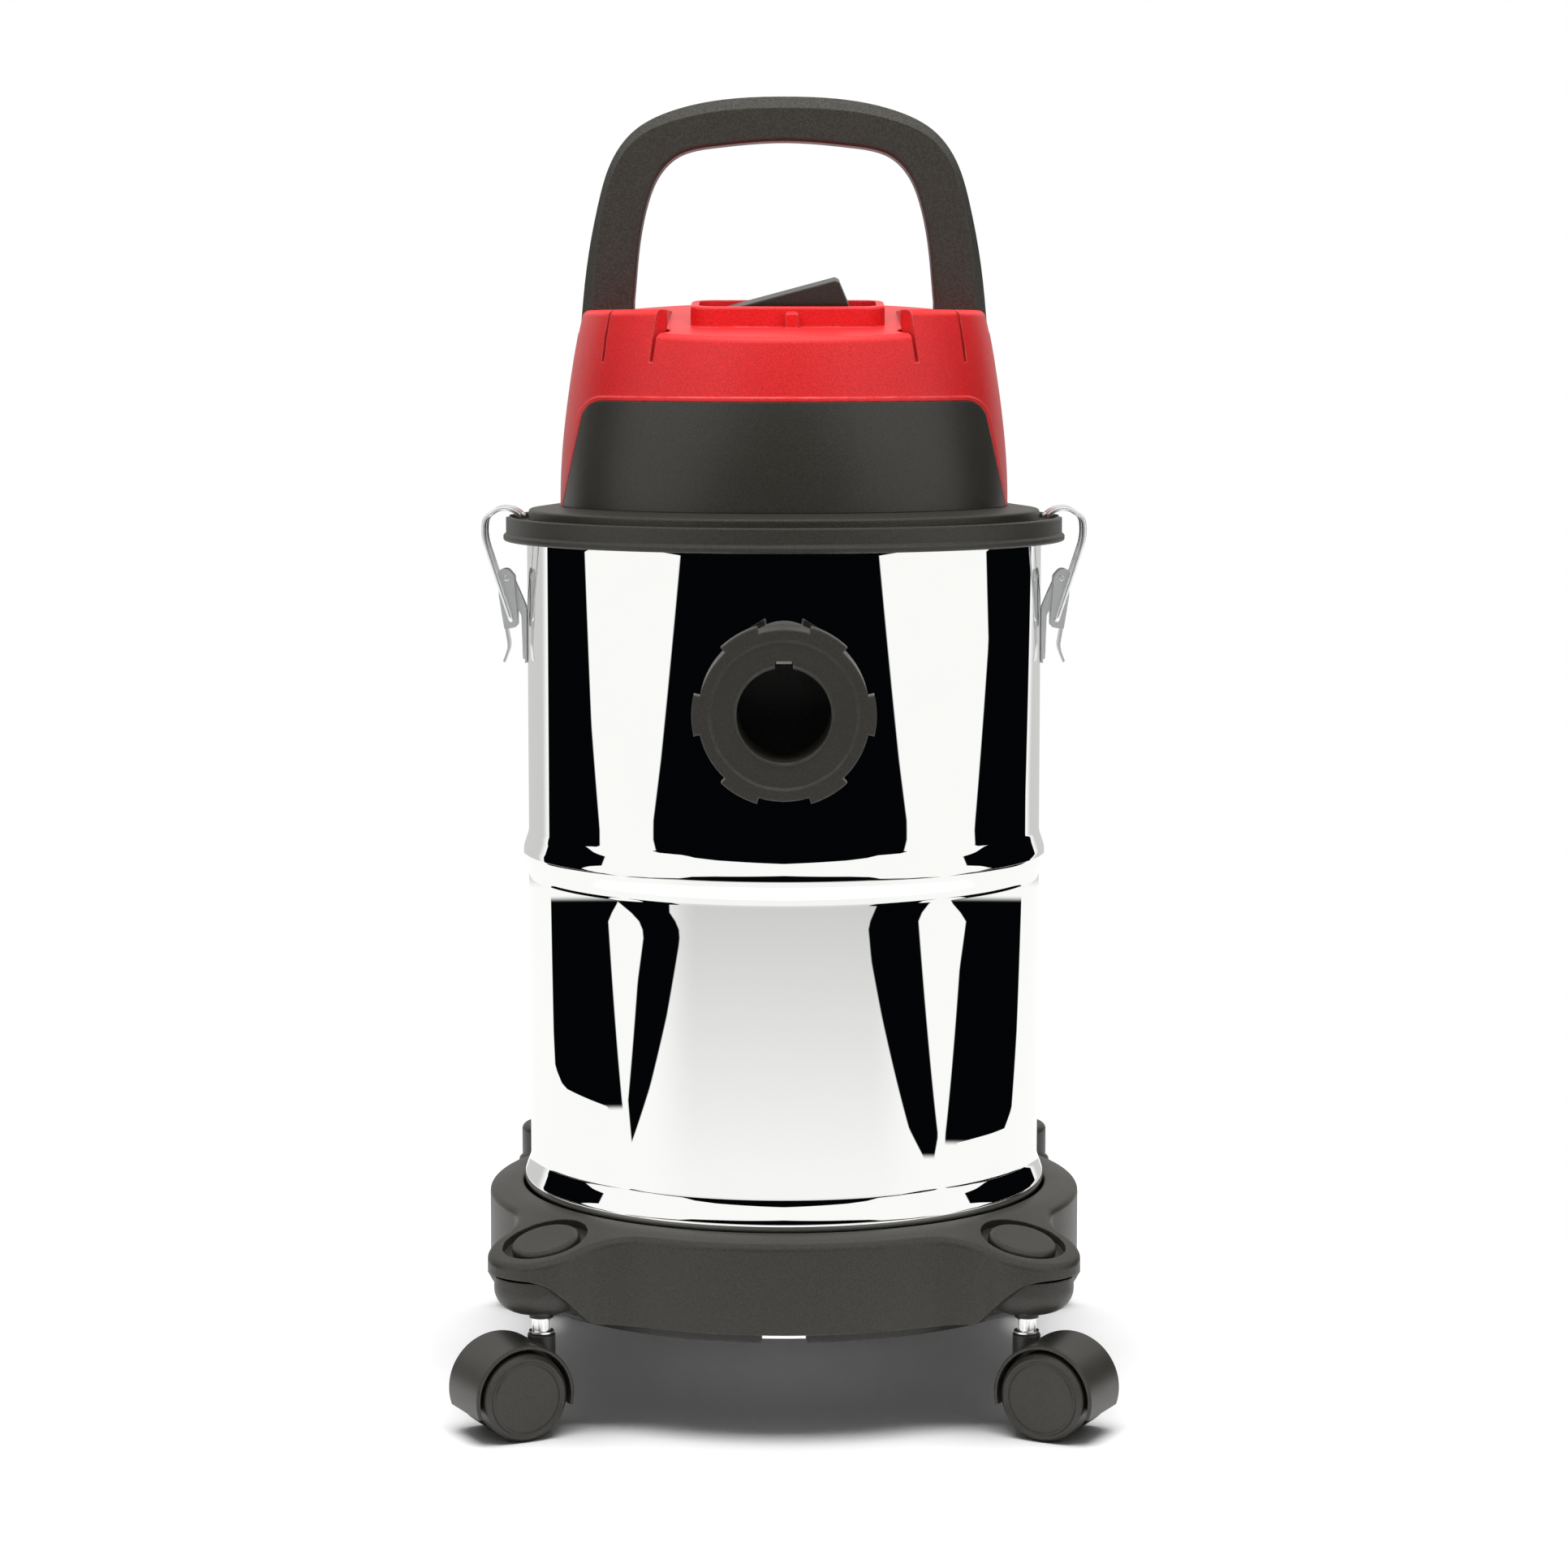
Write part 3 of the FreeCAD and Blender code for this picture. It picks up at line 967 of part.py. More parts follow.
def make_float():
    flange_z = well_floor - 3.0
    inner_r = cage_r - cage_wall
    cage = tube(cage_r, inner_r, cage_bottom, well_floor).fuse(rod(cage_r, cage_bottom, cage_bottom + 3))
    cage = cage.fuse(tube(filter_r + 2, inner_r, flange_z, well_floor))
    cage = cage.cut(rod(12, 300, cage_bottom + 5))
    for _, _, angle in around(6, 1, 15):
        port = block(10, cage_r + 4, -6, 6, cage_bottom + 8, flange_z - 8)
        port.rotate(ORIGIN, Z_AXIS, angle)
        cage = cage.cut(port)
    for x, y, _ in around(4, cage_screw_pcd / 2, 45):
        cage = cage.cut(rod(1.6, 400, 460, x, y))
    keep("float_cage", cage)
    ball = Part.makeSphere(ball_r, V(0, 0, cage_bottom + 3.2 + ball_r))
    keep("float_ball", ball)

    low, high = filter_bottom, flange_z
    cap = 4.0

    def star(outer_r, inner_r_):
        corners = []
        for i in range(2 * pleats):
            radius = outer_r if i % 2 == 0 else inner_r_
            turn = math.pi * i / pleats
            corners.append((radius * math.cos(turn), radius * math.sin(turn)))
        return outline(corners, lambda p: V(p.x, p.y, low + cap))

    rise = V(0, 0, high - low - 2 * cap)
    paper = Part.Face(star(filter_r - 3, 44)).extrude(rise).cut(Part.Face(star(filter_r - 4.6, 42.4)).extrude(rise))
    cap_in = cage_r + 2
    pleated = paper.fuse(tube(filter_r, cap_in, low, low + cap)).fuse(tube(filter_r, cap_in, high - cap, high))
    keep("cartridge_filter", pleated)
    hub = cage_bottom - 8.0
    retainer = turned([(0, low - 8), (14, low - 8, 2), (14, low - 3, 1), (filter_r - 4, low - 3, 1), (filter_r - 4, low),
                       (cage_r - 4, low), (cage_r - 4, cage_bottom), (0, cage_bottom)])
    keep("filter_retainer", retainer.cut(rod(12, hub, cage_bottom + 1)))


def main():
    make_casters()
    dolly_screws = make_dolly()
    make_tank()
    make_inlet()
    make_latches()
    lid_screws = make_lid()
    keep("housing_screws", *(dolly_screws + lid_screws))
    make_cover()
    make_gland()
    make_handle()
    make_switch()
    make_motor()
    make_float()
    os.makedirs("parts", exist_ok=True)
    for name, shape in PIECES.items():
        shape.exportStep("parts/" + name + ".step")
        print(name, len(shape.Solids), round(shape.Volume / 1000, 2), shape.isValid())


main()
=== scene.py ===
"""Looks of the shop vacuum: its finishes, the polished drum and a plain studio round the frame."""
import math

import bmesh
import bpy
from bpy.props import FloatProperty, FloatVectorProperty, IntProperty, PointerProperty
from bpy.types import Operator, Panel, PropertyGroup
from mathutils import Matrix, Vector


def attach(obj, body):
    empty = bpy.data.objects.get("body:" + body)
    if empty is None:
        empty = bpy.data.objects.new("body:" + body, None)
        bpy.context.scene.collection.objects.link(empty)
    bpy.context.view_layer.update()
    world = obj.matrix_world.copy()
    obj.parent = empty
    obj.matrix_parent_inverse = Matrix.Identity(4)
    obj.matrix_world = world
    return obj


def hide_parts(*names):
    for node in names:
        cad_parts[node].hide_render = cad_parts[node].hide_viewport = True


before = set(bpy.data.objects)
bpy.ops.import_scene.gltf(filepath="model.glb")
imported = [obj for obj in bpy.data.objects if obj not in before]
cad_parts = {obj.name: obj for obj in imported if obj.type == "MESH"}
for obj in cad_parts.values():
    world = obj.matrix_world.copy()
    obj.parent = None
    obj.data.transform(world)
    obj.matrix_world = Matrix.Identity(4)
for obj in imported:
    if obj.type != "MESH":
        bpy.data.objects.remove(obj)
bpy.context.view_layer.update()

bl_info = {
    "name": "Shop vacuum looks",
    "version": (1, 0, 0),
    "blender": (4, 5, 0),
    "location": "3D View > Sidebar > Vacuum",
    "description": "Builds the finishes, the polished drum and the studio of a shop vacuum",
    "category": "Object",
}

MM = 0.001


# ---------------------------------------------------------------- node helpers

MIX_FIRST, MIX_SECOND, MIX_RESULT = 6, 7, 2     # the colour sockets of a Mix node


def set_socket(tree, socket, value):
    """Link the socket to another node's value, or set it to a plain one."""
    if isinstance(value, bpy.types.NodeSocket):
        tree.links.new(value, socket)
    else:
        socket.default_value = value


def put(tree, kind, inputs=None, **settings):
    """One node in the tree, with its settings and its sockets' values or links."""
    node = tree.nodes.new(kind)
    for key, value in settings.items():
        setattr(node, key, value)
    for key, value in (inputs or {}).items():
        set_socket(tree, node.inputs[key], value)
    return node


def sums(tree, operation, first, second=0.0, third=0.0):
    node = put(tree, "ShaderNodeMath", {0: first, 1: second, 2: third}, operation=operation)
    return node.outputs[0]


def ramp(tree, value, low, high, start=0.0, end=1.0):
    """A smooth step from start to end as value goes from low to high."""
    node = put(tree, "ShaderNodeMapRange",
               {"Value": value, "From Min": low, "From Max": high, "To Min": start, "To Max": end},
               interpolation_type="SMOOTHSTEP")
    return node.outputs["Result"]


def sloped(tree, value, low, high, at_low, at_high):
    """A straight run from at_low to at_high as value goes from low to high."""
    node = put(tree, "ShaderNodeMapRange", {"Value": value, "From Min": low, "From Max": high,
                                            "To Min": at_low, "To Max": at_high})
    return node.outputs["Result"]


def inverse(tree, value):
    return sums(tree, "SUBTRACT", 1.0, value)


def blended(tree, factor, first, second):
    """The first colour where factor is 0, the second where it is 1."""
    node = put(tree, "ShaderNodeMix", {"Factor": factor, MIX_FIRST: first, MIX_SECOND: second},
               data_type="RGBA")
    return node.outputs[MIX_RESULT]


def new_group(name, inputs, outputs):
    """A shader node group with named sockets, its given values and the sockets it fills."""
    group = bpy.data.node_groups.new(name, "ShaderNodeTree")
    for label, kind, value in inputs:
        socket = group.interface.new_socket(label, in_out="INPUT", socket_type=kind)
        if value is not None:
            socket.default_value = value
    for label, kind in outputs:
        group.interface.new_socket(label, in_out="OUTPUT", socket_type=kind)
    given = group.nodes.new("NodeGroupInput").outputs
    return group, given, group.nodes.new("NodeGroupOutput").inputs


def noise(tree, where, size, detail, **more):
    """Noise whose features are about size millimetres across."""
    scale = sums(tree, "DIVIDE", 1.0 / MM, size)
    node = put(tree, "ShaderNodeTexNoise",
               {"Vector": where, "Scale": scale, "Detail": detail, **more})
    return node.outputs["Fac"]


# ---------------------------------------------------------------- effects that materials share

FLOAT = "NodeSocketFloat"
VECTOR = "NodeSocketVector"
PIT_DEPTH = 0.5                         # depth of the grain's pits beside its fine noise
EDGE_LIGHT_STARTS, EDGE_LIGHT_FULL = 0.995, 0.80      # cosines between the true and the rounded normal, over which the painted edge highlight comes in
BREAKUP_LOW, BREAKUP_HIGH = 0.25, 0.7   # noise levels between which the painted edge highlight breaks up
DRAWN_OUT = (1.0, 1.0, 0.04)            # stretches the brushed lines along the height


def moulded_grain():
    """Fine spark-eroded texture of moulded plastic, with a broad unevenness."""
    group, given, made = new_group(
        "Moulded grain",
        [("Vector", VECTOR, None), ("Grain Size", FLOAT, 0.6), ("Unevenness Size", FLOAT, 60.0)],
        [("Height", FLOAT), ("Fleck", FLOAT), ("Unevenness", FLOAT)])
    where = given["Vector"]
    fine = noise(group, where, given["Grain Size"], 2.0, Roughness=0.6)
    scale = sums(group, "DIVIDE", 1.0 / MM, given["Grain Size"])
    pits = put(group, "ShaderNodeTexVoronoi", {"Vector": where, "Scale": scale, "Randomness": 1.0})
    height = sums(group, "MULTIPLY_ADD", pits.outputs["Distance"], PIT_DEPTH, fine)
    group.links.new(height, made["Height"])
    group.links.new(fine, made["Fleck"])
    group.links.new(noise(group, where, given["Unevenness Size"], 3.0), made["Unevenness"])
    return group


def edge_highlight():
    """Mask of the edges and corners that stand out, which get a painted highlight (lighter colour)
    and a smoother gloss, with the rounded normal.
    """
    group, given, made = new_group(
        "Painted edge highlight",
        [("Vector", VECTOR, None), ("Radius", FLOAT, 0.0012), ("Breakup Size", FLOAT, 6.0)],
        [("Edge", FLOAT), ("Normal", VECTOR)])
    rounded = put(group, "ShaderNodeBevel", {"Radius": given["Radius"]}, samples=4).outputs[0]
    true_normal = put(group, "ShaderNodeNewGeometry").outputs["Normal"]
    facing = put(group, "ShaderNodeVectorMath", {0: rounded, 1: true_normal},
                 operation="DOT_PRODUCT")
    turned = ramp(group, facing.outputs["Value"], EDGE_LIGHT_STARTS, EDGE_LIGHT_FULL)
    breakup = noise(group, given["Vector"], given["Breakup Size"], 3.0)
    # Painted highlight mask: edges where the rounded normal turns away, broken up by noise.
    highlighted = sums(group, "MULTIPLY", turned, ramp(group, breakup, BREAKUP_LOW, BREAKUP_HIGH))
    group.links.new(highlighted, made["Edge"])
    group.links.new(rounded, made["Normal"])
    return group


def brushing():
    """Fine drawn lines and faint blotches of plated or turned metal."""
    group, given, made = new_group(
        "Brushing",
        [("Vector", VECTOR, None), ("Line Size", FLOAT, 0.3), ("Blotch Size", FLOAT, 9.0)],
        [("Lines", FLOAT), ("Blotches", FLOAT)])
    drawn = put(group, "ShaderNodeMapping", {"Vector": given["Vector"], "Scale": DRAWN_OUT})
    group.links.new(noise(group, drawn.outputs[0], given["Line Size"], 3.0), made["Lines"])
    group.links.new(noise(group, given["Vector"], given["Blotch Size"], 4.0), made["Blotches"])
    return group


GROUPS = {}


def placed(tree, maker, **inputs):
    """The shared group, built once, placed in this material with its own values."""
    if maker.__name__ not in GROUPS:
        GROUPS[maker.__name__] = maker()
    node = put(tree, "ShaderNodeGroup", node_tree=GROUPS[maker.__name__])
    for label, value in inputs.items():
        set_socket(tree, node.inputs[label.replace("_", " ")], value)
    return node.outputs


# ---------------------------------------------------------------- materials

FLECK_LOW, FLECK_HIGH = 0.38, 0.62      # noise levels between which the flecks blend
EDGE_LIGHT_SHARE = 0.8                        # how far the painted edge highlight takes an edge to the lighter colour
EDGE_LIGHT_GLOSS = -0.08                       # change of roughness along the edges that carry the painted highlight
GLOSS_SPREAD = 0.12                     # spread of roughness over a face
HAZE = 0.985                            # brightness of the drum's faint blotches
PAPER_DARK, PAPER_PALE = (0.62, 0.58, 0.50, 1.0), (0.74, 0.71, 0.64, 1.0)


def new_material(name):
    material = bpy.data.materials.new(name)
    material.use_nodes = True
    tree = material.node_tree
    tree.nodes.clear()
    shader = put(tree, "ShaderNodeBsdfPrincipled")
    tree.links.new(shader.outputs[0], put(tree, "ShaderNodeOutputMaterial").inputs["Surface"])
    where = put(tree, "ShaderNodeTexCoord").outputs["Object"]
    return material, tree, shader, where


def colour(rgb, brightness=1.0):
    return (rgb[0] * brightness, rgb[1] * brightness, rgb[2] * brightness, 1.0)


def lifted(rgb, share):
    """The colour taken a share of the way to white."""
    return colour([c + (1.0 - c) * share for c in rgb])


def plastic(name, rgb, roughness, grain_size, grain_depth, edge_lift=0.06, fleck=0.10,
            radius=0.0008):
    """Moulded plastic: grained, a little uneven in gloss, with a painted highlight of lighter
    colour along its edges.
    """
    material, tree, shader, where = new_material(name)
    grain = placed(tree, moulded_grain, Vector=where, Grain_Size=grain_size)
    painted_edge = placed(tree, edge_highlight, Vector=where, Radius=radius)
    flecked = blended(tree, ramp(tree, grain["Fleck"], FLECK_LOW, FLECK_HIGH),
                      colour(rgb, 1.0 - fleck), colour(rgb, 1.0 + fleck))
    # Painted highlight: edges and corners lifted toward a lighter colour.
    body = blended(tree, sums(tree, "MULTIPLY", painted_edge["Edge"], EDGE_LIGHT_SHARE), flecked,
                   lifted(rgb, edge_lift))
    set_socket(tree, shader.inputs["Base Color"], body)
    gloss = sums(tree, "MULTIPLY_ADD", grain["Unevenness"], GLOSS_SPREAD,
                 roughness - GLOSS_SPREAD / 2)
    set_socket(tree, shader.inputs["Roughness"],
               sums(tree, "MULTIPLY_ADD", painted_edge["Edge"], EDGE_LIGHT_GLOSS, gloss))
    bump = put(tree, "ShaderNodeBump", {"Strength": 1.0, "Distance": grain_depth * MM,
                                        "Height": grain["Height"], "Normal": painted_edge["Normal"]})
    set_socket(tree, shader.inputs["Normal"], bump.outputs[0])
    return material


def polished(name, rgb):
    """Mirror-polished steel, with the faintest haze."""
    material, tree, shader, where = new_material(name)
    shader.inputs["Metallic"].default_value = 1.0
    shader.inputs["Roughness"].default_value = 0.0
    haze = placed(tree, brushing, Vector=where, Blotch_Size=30.0)
    set_socket(tree, shader.inputs["Base Color"],
               blended(tree, haze["Blotches"], colour(rgb, HAZE), colour(rgb)))
    return material


def metal(name, rgb, roughness, unevenness):
    """Bare or plated metal, uneven in gloss."""
    material, tree, shader, where = new_material(name)
    shader.inputs["Metallic"].default_value = 1.0
    brushed = placed(tree, brushing, Vector=where)
    set_socket(tree, shader.inputs["Base Color"],
               blended(tree, brushed["Blotches"], colour(rgb, 1.0 - unevenness), colour(rgb)))
    gloss = sums(tree, "MULTIPLY_ADD", brushed["Blotches"], unevenness, roughness)
    set_socket(tree, shader.inputs["Roughness"],
               sums(tree, "MULTIPLY_ADD", brushed["Lines"], unevenness, gloss))
    return material


def paper(name):
    """Pleated filter paper: fibrous and matt."""
    material, tree, shader, where = new_material(name)
    shader.inputs["Roughness"].default_value = 0.9
    fibres = placed(tree, moulded_grain, Vector=where, Grain_Size=0.8, Unevenness_Size=12.0)
    set_socket(tree, shader.inputs["Base Color"],
               blended(tree, fibres["Unevenness"], PAPER_DARK, PAPER_PALE))
    bump = put(tree, "ShaderNodeBump", {"Distance": 0.1 * MM, "Height": fibres["Height"]})
    set_socket(tree, shader.inputs["Normal"], bump.outputs[0])
    return material


def floor_finish(studio):
    """Pale floor whose rim fades into the white room."""
    material, tree, shader, where = new_material("floor")
    set_socket(tree, shader.inputs["Base Color"], colour(studio.floor_colour))
    shader.inputs["Roughness"].default_value = 0.85
    distance = put(tree, "ShaderNodeVectorMath", {0: where}, operation="LENGTH").outputs["Value"]
    fading = ramp(tree, distance, studio.floor_radius * FLOOR_FADES_FROM, studio.floor_radius,
                  start=1.0, end=0.0)
    set_socket(tree, shader.inputs["Alpha"], fading)
    return material


# ---------------------------------------------------------------- sizes and colours to change

class StudioSettings(PropertyGroup):
    camera_distance: FloatProperty(name="Camera distance", default=2.25, unit="LENGTH",
                                   description="From the drum's axis to the lens")
    camera_height: FloatProperty(name="Camera height", default=0.590, unit="LENGTH",
                                 description="Height of the lens above the floor")
    camera_pitch: FloatProperty(name="Camera pitch", default=math.radians(6.358),
                                subtype="ANGLE", description="How far the lens looks down")
    focal_length: FloatProperty(name="Focal length", default=91.304,
                                description="In millimetres, on a 36 mm sensor")
    floor_radius: FloatProperty(name="Floor radius", default=0.62, unit="LENGTH",
                                description="Radius of the pale floor")
    low_fill: FloatProperty(name="Low fill", default=0.02,
                            description="Brightness of the room near the floor")
    high_fill: FloatProperty(name="High fill", default=0.6,
                             description="Brightness of the room overhead")
    overhead_power: FloatProperty(name="Overhead light", default=95.0, unit="POWER",
                                  description="Power of the overhead panel")
    front_power: FloatProperty(name="Front lights", default=19.0, unit="POWER",
                               description="Power of each front panel")
    floor_colour: FloatVectorProperty(name="Floor colour", size=3, subtype="COLOR",
                                      default=(0.86, 0.86, 0.86),
                                      description="Colour of the floor")


class FinishSettings(PropertyGroup):
    red: FloatVectorProperty(name="Cover red", size=3, subtype="COLOR",
                             default=(0.56, 0.018, 0.020),
                             description="Moulded red of the head cover")
    black: FloatVectorProperty(name="Body black", size=3, subtype="COLOR",
                               default=(0.0205, 0.0188, 0.0150),
                               description="Moulded black of the lid and the dolly")
    handle: FloatVectorProperty(name="Handle black", size=3, subtype="COLOR",
                                default=(0.026, 0.0245, 0.0205),
                                description="Moulded black of the handle")
    grain: FloatProperty(name="Grain", default=1.1, min=0.1, max=5.0,
                         description="Size of the moulded grain, in millimetres")
    zinc: FloatVectorProperty(name="Zinc", size=3, subtype="COLOR",
                              default=(0.93, 0.94, 0.95),
                              description="Bright plating of the latches")


class DrumSettings(PropertyGroup):
    steel: FloatVectorProperty(name="Drum steel", size=3, subtype="COLOR",
                               default=(0.94, 0.94, 0.935),
                               description="Polished steel of the drum")
    wall: FloatProperty(name="Wall", default=0.001, unit="LENGTH",
                        description="Thickness of the drum's sheet")
    radius: FloatProperty(name="Radius", default=0.145, unit="LENGTH",
                          description="Outside radius of the plain part")
    steps: IntProperty(name="Steps", default=288, min=96, max=512,
                       description="Faces round the drum")
    hole: FloatProperty(name="Inlet hole", default=0.0335, unit="LENGTH",
                        description="Radius of the hole behind the inlet flange")


# ---------------------------------------------------------------- studio

# The white room has dark panels, which the polished drum reflects. Each edge below runs through
# (degrees above the horizon, degrees round from the front) points, for the left and the right.
FRONT_EDGE = (
    [(-7.75, 42), (-7.6, 55), (-7.2, 60), (-6.9, 60), (-6, 56), (-3, 46), (1, 43), (6, 40),
     (12, 30), (18, 12), (22, 0)],
    [(-7.75, 38), (-7.6, 51), (-7.2, 56), (-6.9, 56), (-6, 52), (-3, 42), (1, 40), (6, 37),
     (12, 28), (18, 11), (22, 0)])
SIDE_NEAR = (
    [(-7.7, 94), (-7.4, 90), (-7, 90), (-5.5, 95), (-3, 99), (8, 94), (20, 88), (30, 97)],
    [(-7.7, 98), (-7.4, 95), (-7, 94), (-4.3, 103), (-3, 101), (8, 95), (20, 88), (30, 97)])
SIDE_FAR = ([(-7, 131), (20, 131), (30, 100)], [(-6.5, 139), (-3, 145), (20, 145), (30, 104)])
LOW_INNER_NEAR = (
    [(-11.5, 72), (-10.7, 62), (-9.7, 53.5), (-8.6, 47), (-8.4, 47.5), (-8.2, 52)],
    [(-11.7, 65), (-11.3, 57.5), (-9.7, 44), (-8.9, 39), (-8.4, 37.5), (-8, 43)])
LOW_INNER_FAR = (
    [(-11.5, 72), (-10.9, 74), (-9.2, 68.5), (-8.5, 65), (-8.3, 68), (-8.1, 76), (-8, 84)],
    [(-11.7, 71), (-11.4, 73), (-9.9, 67), (-8.3, 62), (-8.1, 66), (-8, 73)])
LOW_OUTER_NEAR = ([(-11, 77), (-8.3, 85), (-8, 78)], [(-11.4, 77), (-9, 85), (-8.3, 89), (-8, 78)])
LOW_OUTER_FAR = ([(-11, 84), (-10.7, 118), (-10.4, 126), (-9.9, 127.5), (-8, 129.5)],
                 [(-11.5, 84), (-11.3, 118), (-11, 125), (-9.9, 130), (-8, 134.5)])
INNER_FLOOR, OUTER_FLOOR = (-11.5, -11.7), (-11.0, -11.5)   # left and right

LOWEST_RISE, HIGHEST_RISE, FULL_TURN = -13.0, 40.0, 180.0
TALL_FOOT = (-7.85, -7.65)          # the tall panels fade in over this rise
FRONT_TOP, SIDE_TOP = (21.5, 22.5), (29.0, 30.0)
LOW_TOP, LOW_SOFT = -8.0, 0.05
EDGE_SOFT = 0.35
PAST_THE_MIDDLE = -1.0              # the front panel starts here, so its two halves join
DARK = (0.0012, 0.0015, 0.0021, 1.0)
WALL, WALL_DROP, DROP_SPAN = 1.02, -0.40, 8.0    # white of the wall, dimmer behind the side panels
BAND_RISE, BAND_WHITE, BAND_TURN = (-12.0, -8.0), (0.98, 0.64), (38.0, 64.0)
WARMTH = 0.985                      # blue of the wall beside its red and green
FILL_RISE = (22.0, 60.0)            # over this rise the fill goes from low to high
FLOOR_FADES_FROM = 0.82             # share of the floor's radius
LIGHTS_AIM = (0, 0, 0.4)
OVERHEAD_PLACE, OVERHEAD_SIZE = (0, -0.3, 2.4), (1.8, 1.8)
FRONT_PLACE, FRONT_SIZE = (1.5, -2.1, 1.3), (0.8, 1.4)
SENSOR_WIDTH = 36.0


def along_curve(rise):
    """Place of a rise, in degrees, along an edge's curve: finer near the floor."""
    share = (rise - LOWEST_RISE) / (HIGHEST_RISE - LOWEST_RISE)
    return math.sqrt(min(1.0, max(0.0, share)))


def edge_curve(tree, place, rows):
    """Straight runs through (rise, turn) rows, level beyond the first and the last."""
    node = put(tree, "ShaderNodeFloatCurve", {"Factor": 1.0, "Value": place})
    points = node.mapping.curves[0].points
    points[0].location = (0.0, rows[0][1] / FULL_TURN)
    points[1].location = (1.0, rows[-1][1] / FULL_TURN)
    for rise, turn in rows:
        points.new(along_curve(rise), turn / FULL_TURN)
    for point in points:
        point.handle_type = "VECTOR"
    node.mapping.update()
    return node.outputs[0]


def edges(tree, at, soft):
    if isinstance(at, bpy.types.NodeSocket):
        return sums(tree, "SUBTRACT", at, soft), sums(tree, "ADD", at, soft)
    return at - soft, at + soft


def between(tree, value, low, high, soft):
    """1 where value lies between low and high, softened over soft."""
    up = ramp(tree, value, *edges(tree, low, soft))
    down = ramp(tree, value, *edges(tree, high, soft), start=1.0, end=0.0)
    return sums(tree, "MULTIPLY", up, down)


def dark_panels(tree, turn, rise, right, upper):
    """1 where a dark panel stands, and the turn at which the side panels end."""
    share = put(tree, "ShaderNodeMapRange",
                {"Value": rise, "From Min": LOWEST_RISE, "From Max": HIGHEST_RISE})
    place = sums(tree, "SQRT", share.outputs["Result"])

    def sided(rows):
        left_edge, right_edge = edge_curve(tree, place, rows[0]), edge_curve(tree, place, rows[1])
        apart = sums(tree, "SUBTRACT", right_edge, left_edge)
        return sums(tree, "MULTIPLY", sums(tree, "MULTIPLY_ADD", apart, right, left_edge),
                    FULL_TURN)

    def panel(near, far, within):
        return sums(tree, "MULTIPLY", between(tree, turn, near, far, EDGE_SOFT), within)

    def above(floor):
        left_floor, right_floor = floor
        lowest = sums(tree, "MULTIPLY_ADD", right, right_floor - left_floor, left_floor)
        return between(tree, rise, lowest, LOW_TOP, LOW_SOFT)

    side_far = sided(SIDE_FAR)
    front = panel(PAST_THE_MIDDLE, sided(FRONT_EDGE), inverse(tree, ramp(tree, rise, *FRONT_TOP)))
    side = panel(sided(SIDE_NEAR), side_far, inverse(tree, ramp(tree, rise, *SIDE_TOP)))
    tall = sums(tree, "MULTIPLY", sums(tree, "MAXIMUM", front, side), upper)
    inner = panel(sided(LOW_INNER_NEAR), sided(LOW_INNER_FAR), above(INNER_FLOOR))
    outer = panel(sided(LOW_OUTER_NEAR), sided(LOW_OUTER_FAR), above(OUTER_FLOOR))
    return sums(tree, "MAXIMUM", tall, sums(tree, "MAXIMUM", inner, outer)), side_far


def white_walls(tree, turn, rise, side_far, upper):
    """Brightness of the room: dimmer behind the side panels and in a band below the front one."""
    beyond = ramp(tree, sums(tree, "SUBTRACT", turn, side_far), 0.0, DROP_SPAN)
    wall = sums(tree, "MULTIPLY_ADD", sums(tree, "MULTIPLY", beyond, upper), WALL_DROP, WALL)
    band = sloped(tree, rise, *BAND_RISE, *BAND_WHITE)
    in_band = sums(tree, "MULTIPLY", inverse(tree, ramp(tree, turn, *BAND_TURN)),
                   inverse(tree, upper))
    return sums(tree, "MULTIPLY_ADD", sums(tree, "SUBTRACT", band, wall), in_band, wall)


def studio_surroundings(fill):
    """The white room with the dark panels that stand round the object."""
    world = bpy.data.worlds.new("Studio")
    world.use_nodes = True
    tree = world.node_tree
    tree.nodes.clear()
    direction = put(tree, "ShaderNodeTexCoord").outputs["Generated"]
    x, y, z = put(tree, "ShaderNodeSeparateXYZ", {0: direction}).outputs
    from_front = sums(tree, "ARCTAN2", sums(tree, "ABSOLUTE", x),
                      sums(tree, "MULTIPLY", y, -1.0))
    turn = sums(tree, "MULTIPLY", from_front, math.degrees(1.0))
    rise = sums(tree, "MULTIPLY", sums(tree, "ARCSINE", z), math.degrees(1.0))
    right = sums(tree, "GREATER_THAN", x, 0.0)
    upper = ramp(tree, rise, *TALL_FOOT)
    dark, side_far = dark_panels(tree, turn, rise, right, upper)
    white = white_walls(tree, turn, rise, side_far, upper)
    room = put(tree, "ShaderNodeCombineColor",
               {0: white, 1: white, 2: sums(tree, "MULTIPLY", white, WARMTH)}).outputs[0]
    reflected = blended(tree, dark, room, DARK)
    fill_light = sloped(tree, rise, *FILL_RISE, *fill)
    soft_fill = put(tree, "ShaderNodeCombineColor",
                    {0: fill_light, 1: fill_light, 2: fill_light}).outputs[0]
    ray = put(tree, "ShaderNodeLightPath").outputs
    shown = blended(tree, ray["Is Diffuse Ray"], reflected, soft_fill)
    shown = blended(tree, ray["Is Camera Ray"], shown, (1.0, 1.0, 1.0, 1.0))
    background = put(tree, "ShaderNodeBackground", {"Color": shown, "Strength": 1.0})
    tree.links.new(background.outputs[0], put(tree, "ShaderNodeOutputWorld").inputs["Surface"])
    return world


